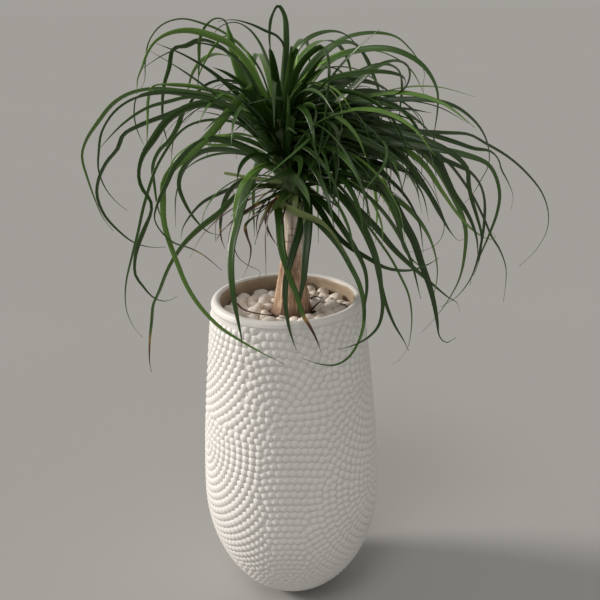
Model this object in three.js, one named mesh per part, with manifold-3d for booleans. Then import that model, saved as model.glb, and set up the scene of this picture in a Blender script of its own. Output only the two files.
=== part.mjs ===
// A ponytail palm in a tall white planter: pot, soil, a dressing of white pebbles, trunk and head of leaves.
// Millimetres, +Z up. The origin is the middle of the pot's flat foot, on the surface it stands on, and -Y is
// the side it is looked at from.
import * as THREE from "three";
import { ConvexHull } from "three/addons/math/ConvexHull.js";
import { mergeVertices } from "three/addons/utils/BufferGeometryUtils.js";
import Module from "manifold-3d";

const wasm = await Module();
wasm.setup();

// Planter
const potHeight = 332;
const rimRadius = 75;
const bellyRadius = 92.8;
const bellyHeight = 121;
const undersideAxis = 125; // height of the quarter ellipse under the belly; its lowest 4 mm is the flat foot
const undersideCentre = 6; // where that ellipse starts from the pot's axis
const wallThickness = 9;
const floorThickness = 10;
const lipRadius = wallThickness / 2; // the lip is a half round as wide as the wall
const roundSides = 40;
const seat = 0.3; // gap kept between pieces that touch
const wallSeat = 0.4; // gap kept to the pot's wall
const insideHeights = [floorThickness, 26, 60, bellyHeight, 210, 303, potHeight - lipRadius];

// The relief on the planter: beads in rings round a few middles, as ridges that swell at each bead. The real
// beads lie about 8 mm apart and these more than twice as far.
const relief = {
  sink: 1.8, // how deep the wall lies between two rings
  saddle: 0.9, // how deep a ring lies between two of its beads
  ringGap: 18.5,
  halfRings: 24, // ridges and the low lines between them, round one middle
  beadGap: 22.5,
  from: 7, // lowest and highest points of the rings
  to: 314,
  leastGap: 8, // points nearer to each other than this are dropped where two families of rings meet
  footSides: 20,
  top: 321, // the bead wall ends here
  band: 325, // and from here up to the lip the wall is plain
  bandRoot: 5, // how far below and inside the bead wall's edge the plain band starts
  // degrees round from the front, height, and the lowest and highest level of each family of rings
  middles: [[-64, 174, 0, 332], [-3, 98, 0, 216], [0, 222, 210, 332], [43, 241, 0, 332], [86, 120, 0, 332],
    [127, 212, 0, 332], [172, 96, 0, 332], [-158, 232, 0, 332], [-116, 88, 0, 332]],
  // the first family has this stretch for itself: degrees from and to, and its top
  ownStretch: [-104, -15, 207],
};

// Fill of the planter
const soilTop = 303;
const bedTop = 314;
const pebbleCount = 32;
const pebbleSize = [8, 7, 5.8]; // half axes of a pebble
const pebbleHeight = 315; // middles of the pebbles
const pebbleUneven = 2; // how far their heights differ
const pebbleTilt = 0.6; // radians between the most and the least tilted
const pebbleSpread = [0.86, 1.14]; // sizes of the least and the greatest
const pebbleFacets = [6, 3]; // round and down

// Trunk, a flared foot that thins to the head of leaves
const trunkGround = 315;
const trunkTop = 425;
const trunkFootRadius = 19.5;
const trunkNeckRadius = 8;
const trunkThinning = 50; // height in which the flare shrinks to about a third
const bulbRadius = 23;
const bulbHeight = 298;
const bulbDepth = 38;
const trunkDepth = -4; // the trunk stands this far in front of the pot's middle
const trunkFootAcross = 4.5;
const trunkLean = 5; // sideways, from the ground to the top
const trunkSides = 18;
const trunkHeights = [268, 280, bulbHeight, 306, trunkGround, 325, 338, 354, 374, 398, trunkTop];

// Head of leaves
const headMiddle = 480; // height at which the leaning stem stands upright over the pot's middle
const headAcross = -2;
const coreProfile = [[8.8, trunkTop + seat], [12.5, 438], [13.5, 458], [11, 490], [6, 512], [0, 520]];
const coreSides = 10;
const keelShare = 0.2; // depth of a blade's keel as a share of its width
const leastKeel = 1.1;
const tipWidth = 1.2;
const baseShare = 0.62; // width of a blade where it clasps the stem, as a share of its widest
const baseLength = 0.22; // share of its length in which it reaches its widest
const leastEdge = 0.02; // shorter edges left by the joins are closed up
const leafRoom = 5; // distance from a leaf's middle line to the trunk and the pot
const goldenAngle = THREE.MathUtils.degToRad(137.508);
const arcSteps = 6;

// Leaves all round the head, from the lowest and oldest to the youngest at the top. Pairs are the values at
// the two ends of a range, angles are degrees, and the shares say how much shorter some of them are.
const drawnLeaves = {
  count: 48,
  root: [440, 498],
  pitch: [24, 78],
  bend: [112, 146],
  length: [230, 330],
  width: [5.5, 9.5],
  pitchSpread: 16,
  bendSpread: 36,
  swing: 52,
  roll: 80,
  shorter: { young: 0.2, front: 0.42, aside: 0.25, left: 0.15 },
  // of the older share of the leaves, none that points this squarely to the front hangs before the trunk
  frontGap: { older: 0.6, squarely: 0.95 },
};

// Shorter leaves in the thick of the head, to the right
const thicketLeaves = {
  count: 18,
  root: [446, 486],
  heading: [-70, 70],
  pitch: [8, 60],
  bend: [78, 118],
  length: [140, 215],
  width: [6.5, 10],
  swing: 70,
  roll: 92,
};

// The leaves were read off a view of the plant from this point. Across and height are where a leaf crosses
// the upright plane through the pot's middle, and reach is how far its tip lies behind (+) or before (-) it.
const viewer = new THREE.Vector3(12.7, -744.6, 601.9);

// root: height on the stem, width: widest, reach: see above, roll: turn of the face in degrees,
// tip: width of the end where a leaf was cut short
const seenLeaves = {
  topLoop: { root: 490, width: 7, reach: -5, roll: 65, path: [[3, 545], [5.5, 575], [4, 594], [-1, 601],
    [-7, 592], [-9.5, 575], [-8, 555]] },
  backArch: { root: 480, width: 7, reach: 50, roll: 62, path: [[-4, 536], [-11, 553], [-18, 570],
    [-27, 582], [-38, 588], [-50, 586], [-62, 576]] },
  topThread: { root: 490, width: 4.5, reach: -20, roll: 55, path: [[3, 550], [3, 568], [-3, 576],
    [-12, 580], [-25, 586], [-40, 590], [-55, 589]] },
  tallFold: { root: 480, width: 9, reach: -15, roll: 65, path: [[-22, 512], [-34, 535], [-41, 557],
    [-45, 579], [-48, 590], [-56, 592], [-65, 586], [-71, 575], [-73, 556], [-75, 535]] },
  highArchThin: { root: 485, width: 5, reach: 45, roll: 40, path: [[-18, 546], [-34, 567], [-50, 580],
    [-66, 587], [-86, 592], [-104, 587], [-116, 574], [-121, 556], [-123, 540], [-128, 532]] },
  highArchWide: { root: 480, width: 9, reach: -25, roll: 65, path: [[-27, 548], [-44, 569], [-60, 577],
    [-80, 582], [-98, 580], [-111, 573], [-119, 563], [-124, 552], [-129, 542], [-131, 528]] },
  kinkedLeft: { root: 475, width: 7, reach: 55, roll: 68, path: [[-32, 543], [-52, 567], [-70, 574],
    [-84, 569], [-95, 567], [-100, 551], [-106, 535], [-109, 515], [-109, 497], [-104, 476]] },
  thinSpan: { root: 470, width: 4.5, reach: -45, roll: 50, path: [[-35, 553], [-60, 569], [-80, 571],
    [-94, 566], [-108, 560], [-123, 551]] },
  innerDrop: { root: 475, width: 6, reach: 30, roll: 55, path: [[-24, 550], [-37, 572], [-48, 577],
    [-58, 569], [-68, 555], [-74, 543], [-77, 529]] },
  farLeftArch: { root: 462, width: 6.5, reach: 35, roll: 45, path: [[-25, 507], [-45, 520], [-68, 527],
    [-92, 531], [-116, 533], [-138, 529], [-154, 520], [-169, 504], [-182, 487], [-187, 473], [-184, 452],
    [-179, 431], [-174, 415], [-165, 401]] },
  leftArchThread: { root: 460, width: 5.5, reach: -45, roll: 45, path: [[-28, 503], [-52, 519], [-80, 527],
    [-107, 529], [-133, 525], [-152, 514], [-166, 496], [-171, 477], [-173, 460], [-168, 442], [-158, 428],
    [-150, 421]] },
  leftSlope: { root: 455, width: 6.5, reach: -80, roll: 60, path: [[-30, 505], [-58, 520], [-82, 525],
    [-104, 521], [-123, 516], [-145, 503], [-161, 489], [-172, 478]] },
  waveLeft: { root: 452, width: 6.5, reach: 60, roll: 58, path: [[-28, 497], [-54, 514], [-80, 517],
    [-106, 509], [-132, 500], [-147, 492], [-153, 480], [-165, 467], [-174, 451], [-177, 436], [-172, 417],
    [-158, 399], [-146, 389], [-130, 384], [-116, 384]] },
  wideLeft: { root: 455, width: 10, reach: -65, roll: 60, path: [[-28, 497], [-46, 513], [-68, 519],
    [-88, 515], [-106, 504], [-120, 487], [-131, 472], [-136, 455], [-134, 442], [-127, 430], [-127, 420],
    [-134, 405], [-142, 388], [-147, 372], [-148, 356], [-142, 345], [-132, 332], [-120, 328],
    [-109, 333]] },
  foldedSweep: { root: 480, width: 8.5, reach: -95, roll: 50, path: [[-14, 505], [-19, 525], [-25, 534],
    [-33, 527], [-49, 511], [-66, 492], [-86, 474], [-103, 461], [-113, 447], [-115, 430], [-116, 410],
    [-112, 388], [-106, 367], [-99, 345], [-87, 322], [-69, 300], [-47, 283], [-27, 270], [-5, 257]] },
  lowArchLeft: { root: 450, width: 7.5, reach: 70, roll: 65, path: [[-20, 462], [-34, 472], [-55, 477],
    [-76, 475], [-92, 463], [-99, 445], [-95, 428], [-86, 411], [-74, 398], [-64, 395]] },
  thinHoop: { root: 455, width: 4.5, reach: 20, roll: 55, path: [[-20, 474], [-38, 480], [-60, 481],
    [-82, 482], [-94, 476], [-103, 467], [-109, 453], [-112, 438]] },
  foldedHang: { root: 462, width: 7, reach: 25, roll: 62, path: [[-38, 518], [-70, 532], [-98, 536],
    [-116, 535], [-121, 524], [-123, 508], [-125, 490], [-127, 478]] },
  hangLeft: { root: 458, width: 7, reach: -15, roll: 62, path: [[-48, 515], [-85, 527], [-116, 530],
    [-131, 526], [-135, 513], [-134, 498], [-129, 483]] },
  smallArch: { root: 470, width: 7, reach: 40, roll: 60, path: [[-22, 523], [-38, 536], [-56, 539],
    [-70, 534], [-80, 524], [-90, 510], [-98, 496]] },
  droopLeft: { root: 458, width: 7, reach: 50, roll: 62, path: [[-42, 508], [-72, 519], [-88, 515],
    [-96, 499], [-105, 486], [-115, 477], [-122, 463], [-122, 445], [-120, 420], [-114, 402]] },
  outerThread: { root: 452, width: 5, reach: -35, roll: 50, path: [[-40, 500], [-85, 500], [-115, 468],
    [-132, 430], [-142, 398], [-150, 374], [-157, 352], [-160, 335], [-160, 318], [-154, 300],
    [-147, 290]] },
  lowSlope: { root: 438, width: 6, reach: 55, roll: 50, path: [[-22, 443], [-43, 442], [-60, 436],
    [-78, 427], [-90, 415], [-98, 403], [-101, 392]] },
  lowDiagonal: { root: 438, width: 8.5, reach: -60, roll: 60, path: [[-24, 442], [-44, 434], [-62, 417],
    [-81, 403], [-100, 385], [-115, 363], [-126, 339], [-133, 325], [-136, 308], [-140, 285], [-142, 262],
    [-141, 251]] },
  crossTail: { root: 446, width: 7, reach: -85, roll: 60, path: [[-35, 478], [-70, 486], [-97, 468],
    [-112, 443], [-122, 424], [-125, 412], [-120, 400], [-108, 388], [-92, 382], [-79, 374], [-63, 359]] },
  hangInner: { root: 440, width: 7, reach: 35, roll: 60, path: [[-26, 449], [-42, 446], [-52, 437],
    [-59, 422], [-62, 405], [-62, 392], [-59, 381]] },
  frontLeftStrap: { root: 462, width: 10, reach: -95, roll: -25, path: [[-20, 461], [-31, 449], [-37, 435],
    [-42, 420], [-47, 403], [-52, 385], [-54, 367], [-54, 346], [-52, 322], [-49, 300], [-47, 284],
    [-47, 277]] },
  underLeft: { root: 436, width: 4, reach: -40, roll: 20, path: [[-12, 427], [-18, 418], [-18, 404],
    [-13, 391], [-6, 380]] },
  elbowLeft: { root: 438, width: 6, reach: -45, roll: 30, path: [[-12, 426], [-26, 415], [-38, 404],
    [-37, 393], [-34, 381], [-36, 368], [-43, 351]] },
  threadHook: { root: 440, width: 3.5, reach: -60, roll: 20, path: [[-28, 438], [-44, 415], [-51, 392],
    [-47, 373], [-38, 364], [-26, 357], [-27, 350]] },
  frontDrop: { root: 444, width: 8.5, reach: -92, roll: 0, path: [[-5, 428], [-5, 402], [-4, 381], [0, 362],
    [4, 347], [9, 334], [12, 322], [16, 309], [22, 298], [28, 285], [33, 270]] },
  frontCross: { root: 446, width: 8, reach: -88, roll: -10, path: [[17, 424], [13, 396], [8, 380], [3, 363],
    [-1, 346], [-2, 328], [-1, 312], [2, 293], [8, 272]] },
  frontStrap: { root: 448, width: 9.5, reach: -80, roll: 10, path: [[20, 430], [22, 408], [21, 390],
    [19, 372], [17, 350], [13, 330], [11, 316], [10, 305]] },
  greyDiagonal: { root: 450, width: 7, reach: -60, roll: 40, path: [[16, 446], [26, 430], [35, 415],
    [47, 395], [61, 381], [79, 369], [98, 358], [120, 355], [137, 360], [149, 367]] },
  loopRight: { root: 442, width: 5.5, reach: -95, roll: 10, path: [[10, 425], [22, 413], [36, 400],
    [52, 380], [63, 360], [72, 340], [76, 320], [76, 300], [71, 281], [61, 263], [48, 255], [32, 256],
    [14, 263]] },
  shortRight: { root: 442, width: 6.5, reach: -80, roll: 30, path: [[24, 436], [43, 416], [58, 394],
    [69, 375], [77, 356], [79, 338], [77, 320], [76, 303], [73, 288]] },
  curlRight: { root: 452, width: 7, reach: -88, roll: 35, path: [[20, 449], [42, 441], [60, 422], [73, 404],
    [84, 380], [90, 360], [93, 338], [95, 318], [91, 297], [80, 284], [65, 276], [50, 272]] },
  crossRight: { root: 450, width: 7.5, reach: -45, roll: 50, path: [[25, 452], [46, 438], [63, 418],
    [77, 393], [87, 367], [92, 344], [99, 318], [107, 298], [117, 280], [122, 269]] },
  brownTip: { root: 454, width: 4.5, reach: -20, roll: 35, path: [[30, 458], [55, 437], [76, 406],
    [90, 386], [102, 368], [112, 349], [120, 331], [124, 310], [124, 290], [121, 272], [114, 260],
    [105, 253]] },
  hookRight: { root: 460, width: 10.5, reach: -35, roll: 60, path: [[28, 470], [58, 464], [85, 446],
    [101, 427], [113, 405], [124, 385], [132, 362], [140, 341], [146, 320], [150, 300], [153, 284],
    [160, 277], [170, 283]] },
  longSlope: { root: 452, width: 8.5, reach: 20, roll: 55, path: [[25, 448], [50, 433], [70, 417],
    [88, 398], [105, 377], [124, 358], [144, 340], [160, 326], [169, 320], [172, 310]] },
  innerHook: { root: 462, width: 6.5, reach: 50, roll: 60, path: [[45, 474], [85, 470], [122, 447],
    [143, 424], [153, 400], [150, 386], [142, 378], [130, 374], [118, 374]] },
  dropRight: { root: 458, width: 9, reach: -50, roll: 60, path: [[40, 466], [72, 458], [95, 438],
    [106, 412], [111, 393], [115, 378], [122, 367], [133, 357]] },
  bluntRight: { root: 466, width: 10, reach: -15, roll: 60, path: [[40, 482], [78, 486], [105, 472],
    [124, 450], [139, 428], [150, 408], [160, 392], [168, 384], [172, 386]] },
  wideRight: { root: 468, width: 11, reach: -40, roll: 65, path: [[40, 486], [85, 494], [122, 480],
    [145, 460], [153, 445], [161, 430], [172, 415], [180, 400], [185, 385], [187, 366]] },
  curlTip: { root: 464, width: 8, reach: 15, roll: 60, path: [[45, 480], [90, 484], [128, 462], [150, 432],
    [165, 411], [179, 396], [192, 387], [202, 385], [203, 389], [196, 393]] },
  tailRight: { root: 466, width: 8, reach: 40, roll: 65, path: [[50, 486], [95, 490], [135, 465],
    [160, 428], [173, 398], [174, 372], [170, 345], [160, 323], [149, 306], [134, 288]] },
  rightArch: { root: 472, width: 6.5, reach: -30, roll: 45, path: [[25, 500], [52, 512], [80, 518],
    [109, 519], [133, 518], [155, 513], [171, 503], [184, 489], [191, 473], [192, 457], [186, 444],
    [178, 429], [171, 421]] },
  farThread: { root: 466, width: 5.5, reach: 30, roll: 45, path: [[35, 482], [75, 489], [115, 490],
    [150, 488], [172, 486], [187, 478], [209, 465], [227, 450], [244, 430], [252, 410], [252, 392],
    [243, 373], [228, 357]] },
  heavyRight: { root: 464, width: 7.5, reach: -60, roll: 55, path: [[35, 478], [75, 482], [115, 478],
    [149, 472], [170, 467], [190, 459], [198, 449], [204, 430], [203, 412], [196, 388], [188, 366],
    [182, 348], [181, 338]] },
  stepRight: { root: 468, width: 7, reach: 55, roll: 60, path: [[45, 490], [85, 498], [125, 490],
    [160, 479], [177, 473], [193, 470], [201, 462], [204, 453], [211, 441], [217, 427], [216, 414]] },
  kneeRight: { root: 462, width: 6.5, reach: 5, roll: 58, path: [[50, 476], [95, 480], [130, 472],
    [150, 463], [166, 456], [175, 451], [185, 439], [190, 424], [191, 400], [189, 378], [185, 357],
    [180, 343], [168, 326], [153, 316]] },
  innerRight: { root: 466, width: 7, reach: -75, roll: 60, path: [[45, 488], [90, 492], [130, 482],
    [158, 468], [172, 454], [174, 440], [178, 424], [184, 407], [189, 390], [189, 368], [184, 348]] },
  threadRight: { root: 462, width: 6, reach: 60, roll: 55, path: [[50, 478], [100, 486], [145, 468],
    [174, 435], [190, 407], [199, 388], [208, 374], [215, 356], [216, 340], [215, 320]] },
  topRight: { root: 490, width: 9, reach: -20, roll: 65, path: [[5, 531], [13, 561], [26, 574], [44, 579],
    [56, 577], [65, 570], [70, 562]] },
  highRight: { root: 484, width: 5.5, reach: 40, roll: 45, path: [[23, 541], [43, 565], [60, 574],
    [83, 577], [103, 573], [116, 562], [125, 550], [129, 542], [128, 530], [129, 517]] },
  wideArchRight: { root: 482, width: 8.5, reach: -30, roll: 50, path: [[26, 535], [48, 556], [73, 563],
    [97, 563], [118, 555], [132, 543], [141, 526], [142, 509], [140, 490], [139, 477]] },
  smallLoop: { root: 474, width: 9, reach: -45, roll: 68, path: [[38, 506], [66, 532], [84, 547],
    [102, 553], [113, 549], [116, 540], [112, 529], [103, 523], [91, 519]] },
  smallLoopTwin: { root: 476, width: 8, reach: 15, roll: 65, path: [[40, 520], [74, 545], [95, 550],
    [106, 544], [109, 530], [108, 515], [107, 498]] },
  fallRight: { root: 486, width: 9, reach: 25, roll: 60, path: [[14, 530], [34, 557], [52, 569], [66, 568],
    [76, 556], [82, 543], [88, 527], [91, 510], [90, 490]] },
  frontFall: { root: 488, width: 9.5, reach: -75, roll: 10, path: [[13, 543], [27, 561], [39, 566],
    [43, 552], [42, 525], [38, 495], [33, 470], [27, 446]] },
  cutLeaf: { root: 485, width: 8, reach: -12, roll: 10, tip: 7.5, path: [[2, 518], [6, 538], [10, 567]] },
  cutLeafThin: { root: 484, width: 5.5, reach: 5, roll: 30, tip: 5, path: [[5, 515], [11, 538],
    [15, 564]] },
  cutStub: { root: 444, width: 5, reach: -45, roll: 60, tip: 4.5, path: [[-18, 448], [-36, 451],
    [-56, 455]] },
  paleHoop: { root: 480, width: 3.5, reach: -60, roll: 20, path: [[10, 526], [22, 534], [35, 533],
    [46, 527], [53, 516], [55, 503], [53, 488], [48, 474], [42, 461]] },
};

// A seeded row of even draws between 0 and 1
function makeDraws(start) {
  let state = start;
  return () => {
    state = (state * 1664525 + 1013904223) % 2 ** 32;
    return state / 2 ** 32;
  };
}

function between([low, high], share) {
  return low + (high - low) * share;
}

function smoothStep(value) {
  const share = Math.min(1, Math.max(0, value));
  return share * share * (3 - 2 * share);
}

// A closed mesh as a solid, with equal corners merged
function toSolid(geometry) {
  const bare = geometry.index ? geometry.toNonIndexed() : geometry.clone();
  bare.deleteAttribute("normal");
  bare.deleteAttribute("uv");
  const merged = mergeVertices(bare, 1e-4);
  const corners = merged.index.array;
  const faces = [];
  for (let i = 0; i < corners.length; i += 3) {
    const [a, b, c] = corners.slice(i, i + 3);
    if (a !== b && b !== c && c !== a) {
      faces.push(a, b, c);
    }
  }
  return new wasm.Manifold(new wasm.Mesh({
    numProp: 3,
    vertProperties: new Float32Array(merged.attributes.position.array),
    triVerts: new Uint32Array(faces),
  }));
}

function toGeometry(solid) {
  const mesh = solid.getMesh();
  const geometry = new THREE.BufferGeometry();
  geometry.setAttribute("position", new THREE.BufferAttribute(new Float32Array(mesh.vertProperties), 3));
  geometry.setIndex(new THREE.BufferAttribute(new Uint32Array(mesh.triVerts), 1));
  geometry.computeVertexNormals();
  return geometry;
}

// Joins solids two by two, so that no join holds many more faces than it needs
function joinAll(solids) {
  let row = solids;
  while (row.length > 1) {
    const next = [];
    for (let i = 0; i < row.length; i += 2) {
      next.push(i + 1 < row.length ? row[i].add(row[i + 1]) : row[i]);
    }
    row = next;
  }
  return row[0];
}

// The biggest body of a solid: loose scraps go, and a hollow that joining sealed is filled
function mainBody(solid) {
  return solid.decompose().reduce((best, body) => (body.volume() > best.volume() ? body : best));
}

// A solid of revolution about Z from a list of [radius, height] that starts and ends on the axis
function turned(profile, sides) {
  const geometry = new THREE.LatheGeometry(profile.map(([r, z]) => new THREE.Vector2(r, z)), sides);
  return geometry.rotateX(Math.PI / 2);
}

// The pot's outside: a quarter ellipse up to the belly, then in to the rim by the power of one and a half
function potRadius(height) {
  if (height < bellyHeight) {
    const share = (bellyHeight - height) / undersideAxis;
    return undersideCentre + (bellyRadius - undersideCentre) * Math.sqrt(1 - share * share);
  }
  const share = (height - bellyHeight) / (potHeight - bellyHeight);
  return bellyRadius - (bellyRadius - rimRadius) * share ** 1.5;
}

// The inside runs a wall's thickness inside the outside, on a shallower ellipse
function insideRadius(height) {
  if (height < bellyHeight) {
    const share = (bellyHeight - height) / (undersideAxis - floorThickness + 1);
    return undersideCentre + (bellyRadius - wallThickness - undersideCentre) * Math.sqrt(1 - share * share);
  }
  return potRadius(height) - wallThickness;
}

// The inside as it is built, straight between its heights
function wallRadius(height) {
  const above = insideHeights.findIndex((z) => z >= height);
  if (above < 1) {
    return insideRadius(insideHeights[0]);
  }
  const [low, high] = [insideHeights[above - 1], insideHeights[above]];
  const share = (height - low) / (high - low);
  return insideRadius(low) * (1 - share) + insideRadius(high) * share;
}

// Up the outside's profile: height, length so far, and a map's northing, whose steps are shares of the radius
function profileRows() {
  const rows = [[0, 0, 0]];
  for (let z = 1; z <= relief.top; z++) {
    const step = Math.hypot(1, potRadius(z) - potRadius(z - 1));
    const [, length, northing] = rows.at(-1);
    rows.push([z, length + step, northing + step / potRadius(z - 0.5)]);
  }
  return rows;
}

// One column of the rows read off by the other, straight between rows
function readOff(rows, value, given, wanted) {
  const above = Math.max(1, rows.findIndex((row) => row[given] >= value));
  const [low, high] = [rows[above - 1], rows[above]];
  return low[wanted] + (high[wanted] - low[wanted]) * (value - low[given]) / (high[given] - low[given]);
}

// A point of the planter's nominal outside, by its angle round from the front
function onWall(angle, height) {
  const radius = potRadius(height);
  return new THREE.Vector3(radius * Math.sin(angle), -radius * Math.cos(angle), height);
}

// Which family of rings a place belongs to: the nearest of those that reach its level
function ringOwner(angle, height) {
  const round = 2 * Math.PI;
  const wrapped = THREE.MathUtils.euclideanModulo(angle + Math.PI, round) - Math.PI;
  const degreesRound = THREE.MathUtils.radToDeg(wrapped);
  const [left, right, top] = relief.ownStretch;
  if (degreesRound > left && degreesRound < right && height < top) {
    return 0;
  }
  const place = onWall(angle, height);
  const gaps = relief.middles.map(([degrees, level, lowest, highest], i) => {
    const reaches = i > 0 && height >= lowest && height <= highest;
    return reaches ? place.distanceTo(onWall(THREE.MathUtils.degToRad(degrees), level)) : Infinity;
  });
  return gaps.indexOf(Math.min(...gaps));
}

// The relief's points, each with its depth under the nominal wall: rings on which beads and saddles take
// turns, and half way between the rings the low points of the wall
function reliefPoints(rows) {
  const families = [[], [], []]; // beads, saddles and low points
  relief.middles.forEach(([degrees, level], owner) => {
    const middleUp = readOff(rows, level, 0, 1);
    for (let half = 0; half < relief.halfRings; half++) {
      const radius = half * relief.ringGap / 2;
      const beads = Math.max(1, Math.round(2 * Math.PI * radius / relief.beadGap));
      const isRidge = half % 2 === 0;
      const count = isRidge && half > 0 ? 2 * beads : beads;
      for (let i = 0; i < count; i++) {
        const turn = 2 * Math.PI * (i + half / 4) / count;
        const up = middleUp + radius * Math.sin(turn);
        const height = up > 0 && up < rows.at(-1)[1] ? readOff(rows, up, 1, 0) : -1;
        if (height < relief.from || height > relief.to) {
          continue;
        }
        const across = radius * Math.cos(turn) / potRadius((height + level) / 2);
        const angle = THREE.MathUtils.degToRad(degrees) + across;
        if (Math.abs(across) < Math.PI && ringOwner(angle, height) === owner) {
          const kind = isRidge ? i % 2 : 2;
          families[kind].push({ place: onWall(angle, height), depth: [0, relief.saddle, relief.sink][kind] });
        }
      }
    }
  });
  const kept = [];
  for (const point of families.flat()) {
    if (kept.every((other) => other.place.distanceTo(point.place) > relief.leastGap)) {
      kept.push(point);
    }
  }
  return kept;
}

// The points are laid on a globe by a map that keeps small shapes, and the hull of the globe's points joins
// each to its neighbours. On the planter each point is sunk to its depth.
function reliefSolid() {
  const rows = profileRows();
  const points = reliefPoints(rows);
  const ring = (height, sides, depth) => {
    for (let i = 0; i < sides; i++) {
      points.push({ place: onWall(2 * Math.PI * i / sides, height), depth });
    }
  };
  ring(0, relief.footSides, 0);
  ring(relief.top, roundSides, relief.sink);
  const equator = rows.at(-1)[2] / 2;
  const globe = points.map(({ place }) => {
    const northing = readOff(rows, place.z, 0, 2) - equator;
    const parallel = new THREE.Vector3(place.x, place.y, 0).setLength(1 / Math.cosh(northing));
    return parallel.setZ(Math.tanh(northing));
  });
  const numbers = new Map(globe.map((point, i) => [point, i]));
  const corners = new ConvexHull().setFromPoints(globe).faces.flatMap(({ edge }) => (
    [edge, edge.next, edge.prev].map((side) => numbers.get(side.head().point))));
  const sunk = points.flatMap(({ place, depth }) => {
    const slope = potRadius(place.z + 0.5) - potRadius(Math.max(0, place.z - 0.5));
    const out = new THREE.Vector3(place.x, place.y, 0).normalize().setZ(-slope).normalize();
    return place.clone().addScaledVector(out, -depth).toArray();
  });
  return new wasm.Manifold(new wasm.Mesh({
    numProp: 3,
    vertProperties: new Float32Array(sunk),
    triVerts: new Uint32Array(corners),
  }));
}

function makePot() {
  const lipMiddle = rimRadius - lipRadius;
  const onLip = (degrees) => {
    const angle = THREE.MathUtils.degToRad(degrees);
    return [lipMiddle + lipRadius * Math.cos(angle), potHeight - lipRadius + lipRadius * Math.sin(angle)];
  };
  const root = relief.top - relief.bandRoot;
  const band = [relief.band, potHeight - lipRadius].map((z) => [potRadius(z), z]);
  const lip = [45, 90].map(onLip);
  const rootRadius = potRadius(root) - relief.bandRoot;
  const upper = turned([[0, root], [rootRadius, root], ...band, ...lip, [0, potHeight]], roundSides);
  const inside = insideHeights.map((z) => [insideRadius(z), z]);
  const over = [lipMiddle - seat, potHeight + seat];
  const hollow = turned([[0, floorThickness], ...inside, onLip(135), over, [0, over[1]]], roundSides);
  return reliefSolid().add(toSolid(upper)).subtract(toSolid(hollow));
}

// The trunk's middle line, sideways: it leans over the pot, and the stem in the head leans back
function stemAcross(height) {
  if (height < trunkTop) {
    return trunkFootAcross + trunkLean * smoothStep((height - trunkGround) / (trunkTop - trunkGround));
  }
  const share = smoothStep((height - trunkTop) / (headMiddle - trunkTop));
  return (trunkFootAcross + trunkLean) * (1 - share) + headAcross * share;
}

function stemDepth(height) {
  return trunkDepth * (1 - smoothStep((height - trunkTop) / (headMiddle - trunkTop)));
}

// Above the ground the flare dies away, and the buried bulb is a half round
function trunkRadius(height) {
  if (height < bulbHeight) {
    return bulbRadius * Math.sqrt(Math.max(0, 1 - ((bulbHeight - height) / bulbDepth) ** 2));
  }
  if (height < trunkGround) {
    const share = smoothStep((height - bulbHeight) / (trunkGround - bulbHeight));
    return bulbRadius * (1 - share) + trunkFootRadius * share;
  }
  const flare = Math.exp(-(height - trunkGround) / trunkThinning);
  return trunkNeckRadius + (trunkFootRadius - trunkNeckRadius) * flare;
}

// Moves each level of a turned shape onto the stem's leaning middle line
function leanWithStem(geometry) {
  const places = geometry.attributes.position;
  for (let i = 0; i < places.count; i++) {
    const height = places.getZ(i);
    places.setX(i, places.getX(i) + stemAcross(height));
    places.setY(i, places.getY(i) + stemDepth(height));
  }
  return geometry;
}

// The trunk, or with room > 0 the hole that it stands in
function trunkSolid(room) {
  const sides = trunkHeights.map((z) => [trunkRadius(z) + room, z]);
  const bottom = bulbHeight - bulbDepth - room;
  return toSolid(leanWithStem(turned([[0, bottom], ...sides, [0, trunkTop]], trunkSides)));
}

function makeSoil() {
  const sides = insideHeights.filter((z) => z <= soilTop).map((z) => [wallRadius(z) - wallSeat, z]);
  sides[0][1] += seat;
  const fill = toSolid(turned([[0, floorThickness + seat], ...sides, [0, soilTop]], roundSides));
  return fill.subtract(trunkSolid(seat));
}

// A pebble is a small rounded solid, longer than wide, turned by its own draw
function pebbleSolid(draw, place) {
  const geometry = new THREE.SphereGeometry(1, ...pebbleFacets);
  const size = pebbleSize.map((half) => half * between(pebbleSpread, draw()));
  geometry.scale(...size);
  geometry.rotateX((draw() - 0.5) * pebbleTilt);
  geometry.rotateZ(draw() * Math.PI);
  geometry.translate(place.x, place.y, place.z);
  return toSolid(geometry);
}

// The dressing: a bed with pebbles set in it, spread over the ring between trunk and wall by the golden angle
function makePebbles() {
  const draw = makeDraws(71);
  const floor = soilTop + seat;
  const edge = [floor, bedTop].map((z) => [wallRadius(z) - wallSeat, z]);
  const bed = turned([[0, floor], ...edge, [0, bedTop]], roundSides);
  const inner = trunkFootRadius;
  const outer = wallRadius(pebbleHeight) - pebbleSize[0] * pebbleSpread[1] - 2 * seat;
  const solids = [toSolid(bed)];
  for (let i = 0; i < pebbleCount; i++) {
    const share = (i + 0.5) / pebbleCount;
    const radius = Math.sqrt(inner ** 2 + (outer ** 2 - inner ** 2) * share);
    const place = new THREE.Vector3(radius * Math.cos(i * goldenAngle), radius * Math.sin(i * goldenAngle),
      pebbleHeight + (draw() - 0.5) * pebbleUneven);
    solids.push(pebbleSolid(draw, place));
  }
  return joinAll(solids).subtract(trunkSolid(seat));
}

// The stem in the head, which the leaves grow from
function coreSolid() {
  return toSolid(leanWithStem(turned([[0, trunkTop + seat], ...coreProfile], coreSides)));
}

// The point on the viewer's line of sight through across and height, at a depth behind the middle plane
function placeSeen(across, height, depth) {
  const onPlane = new THREE.Vector3(across, 0, height);
  return viewer.clone().lerp(onPlane, (depth - viewer.y) / -viewer.y);
}

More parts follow.
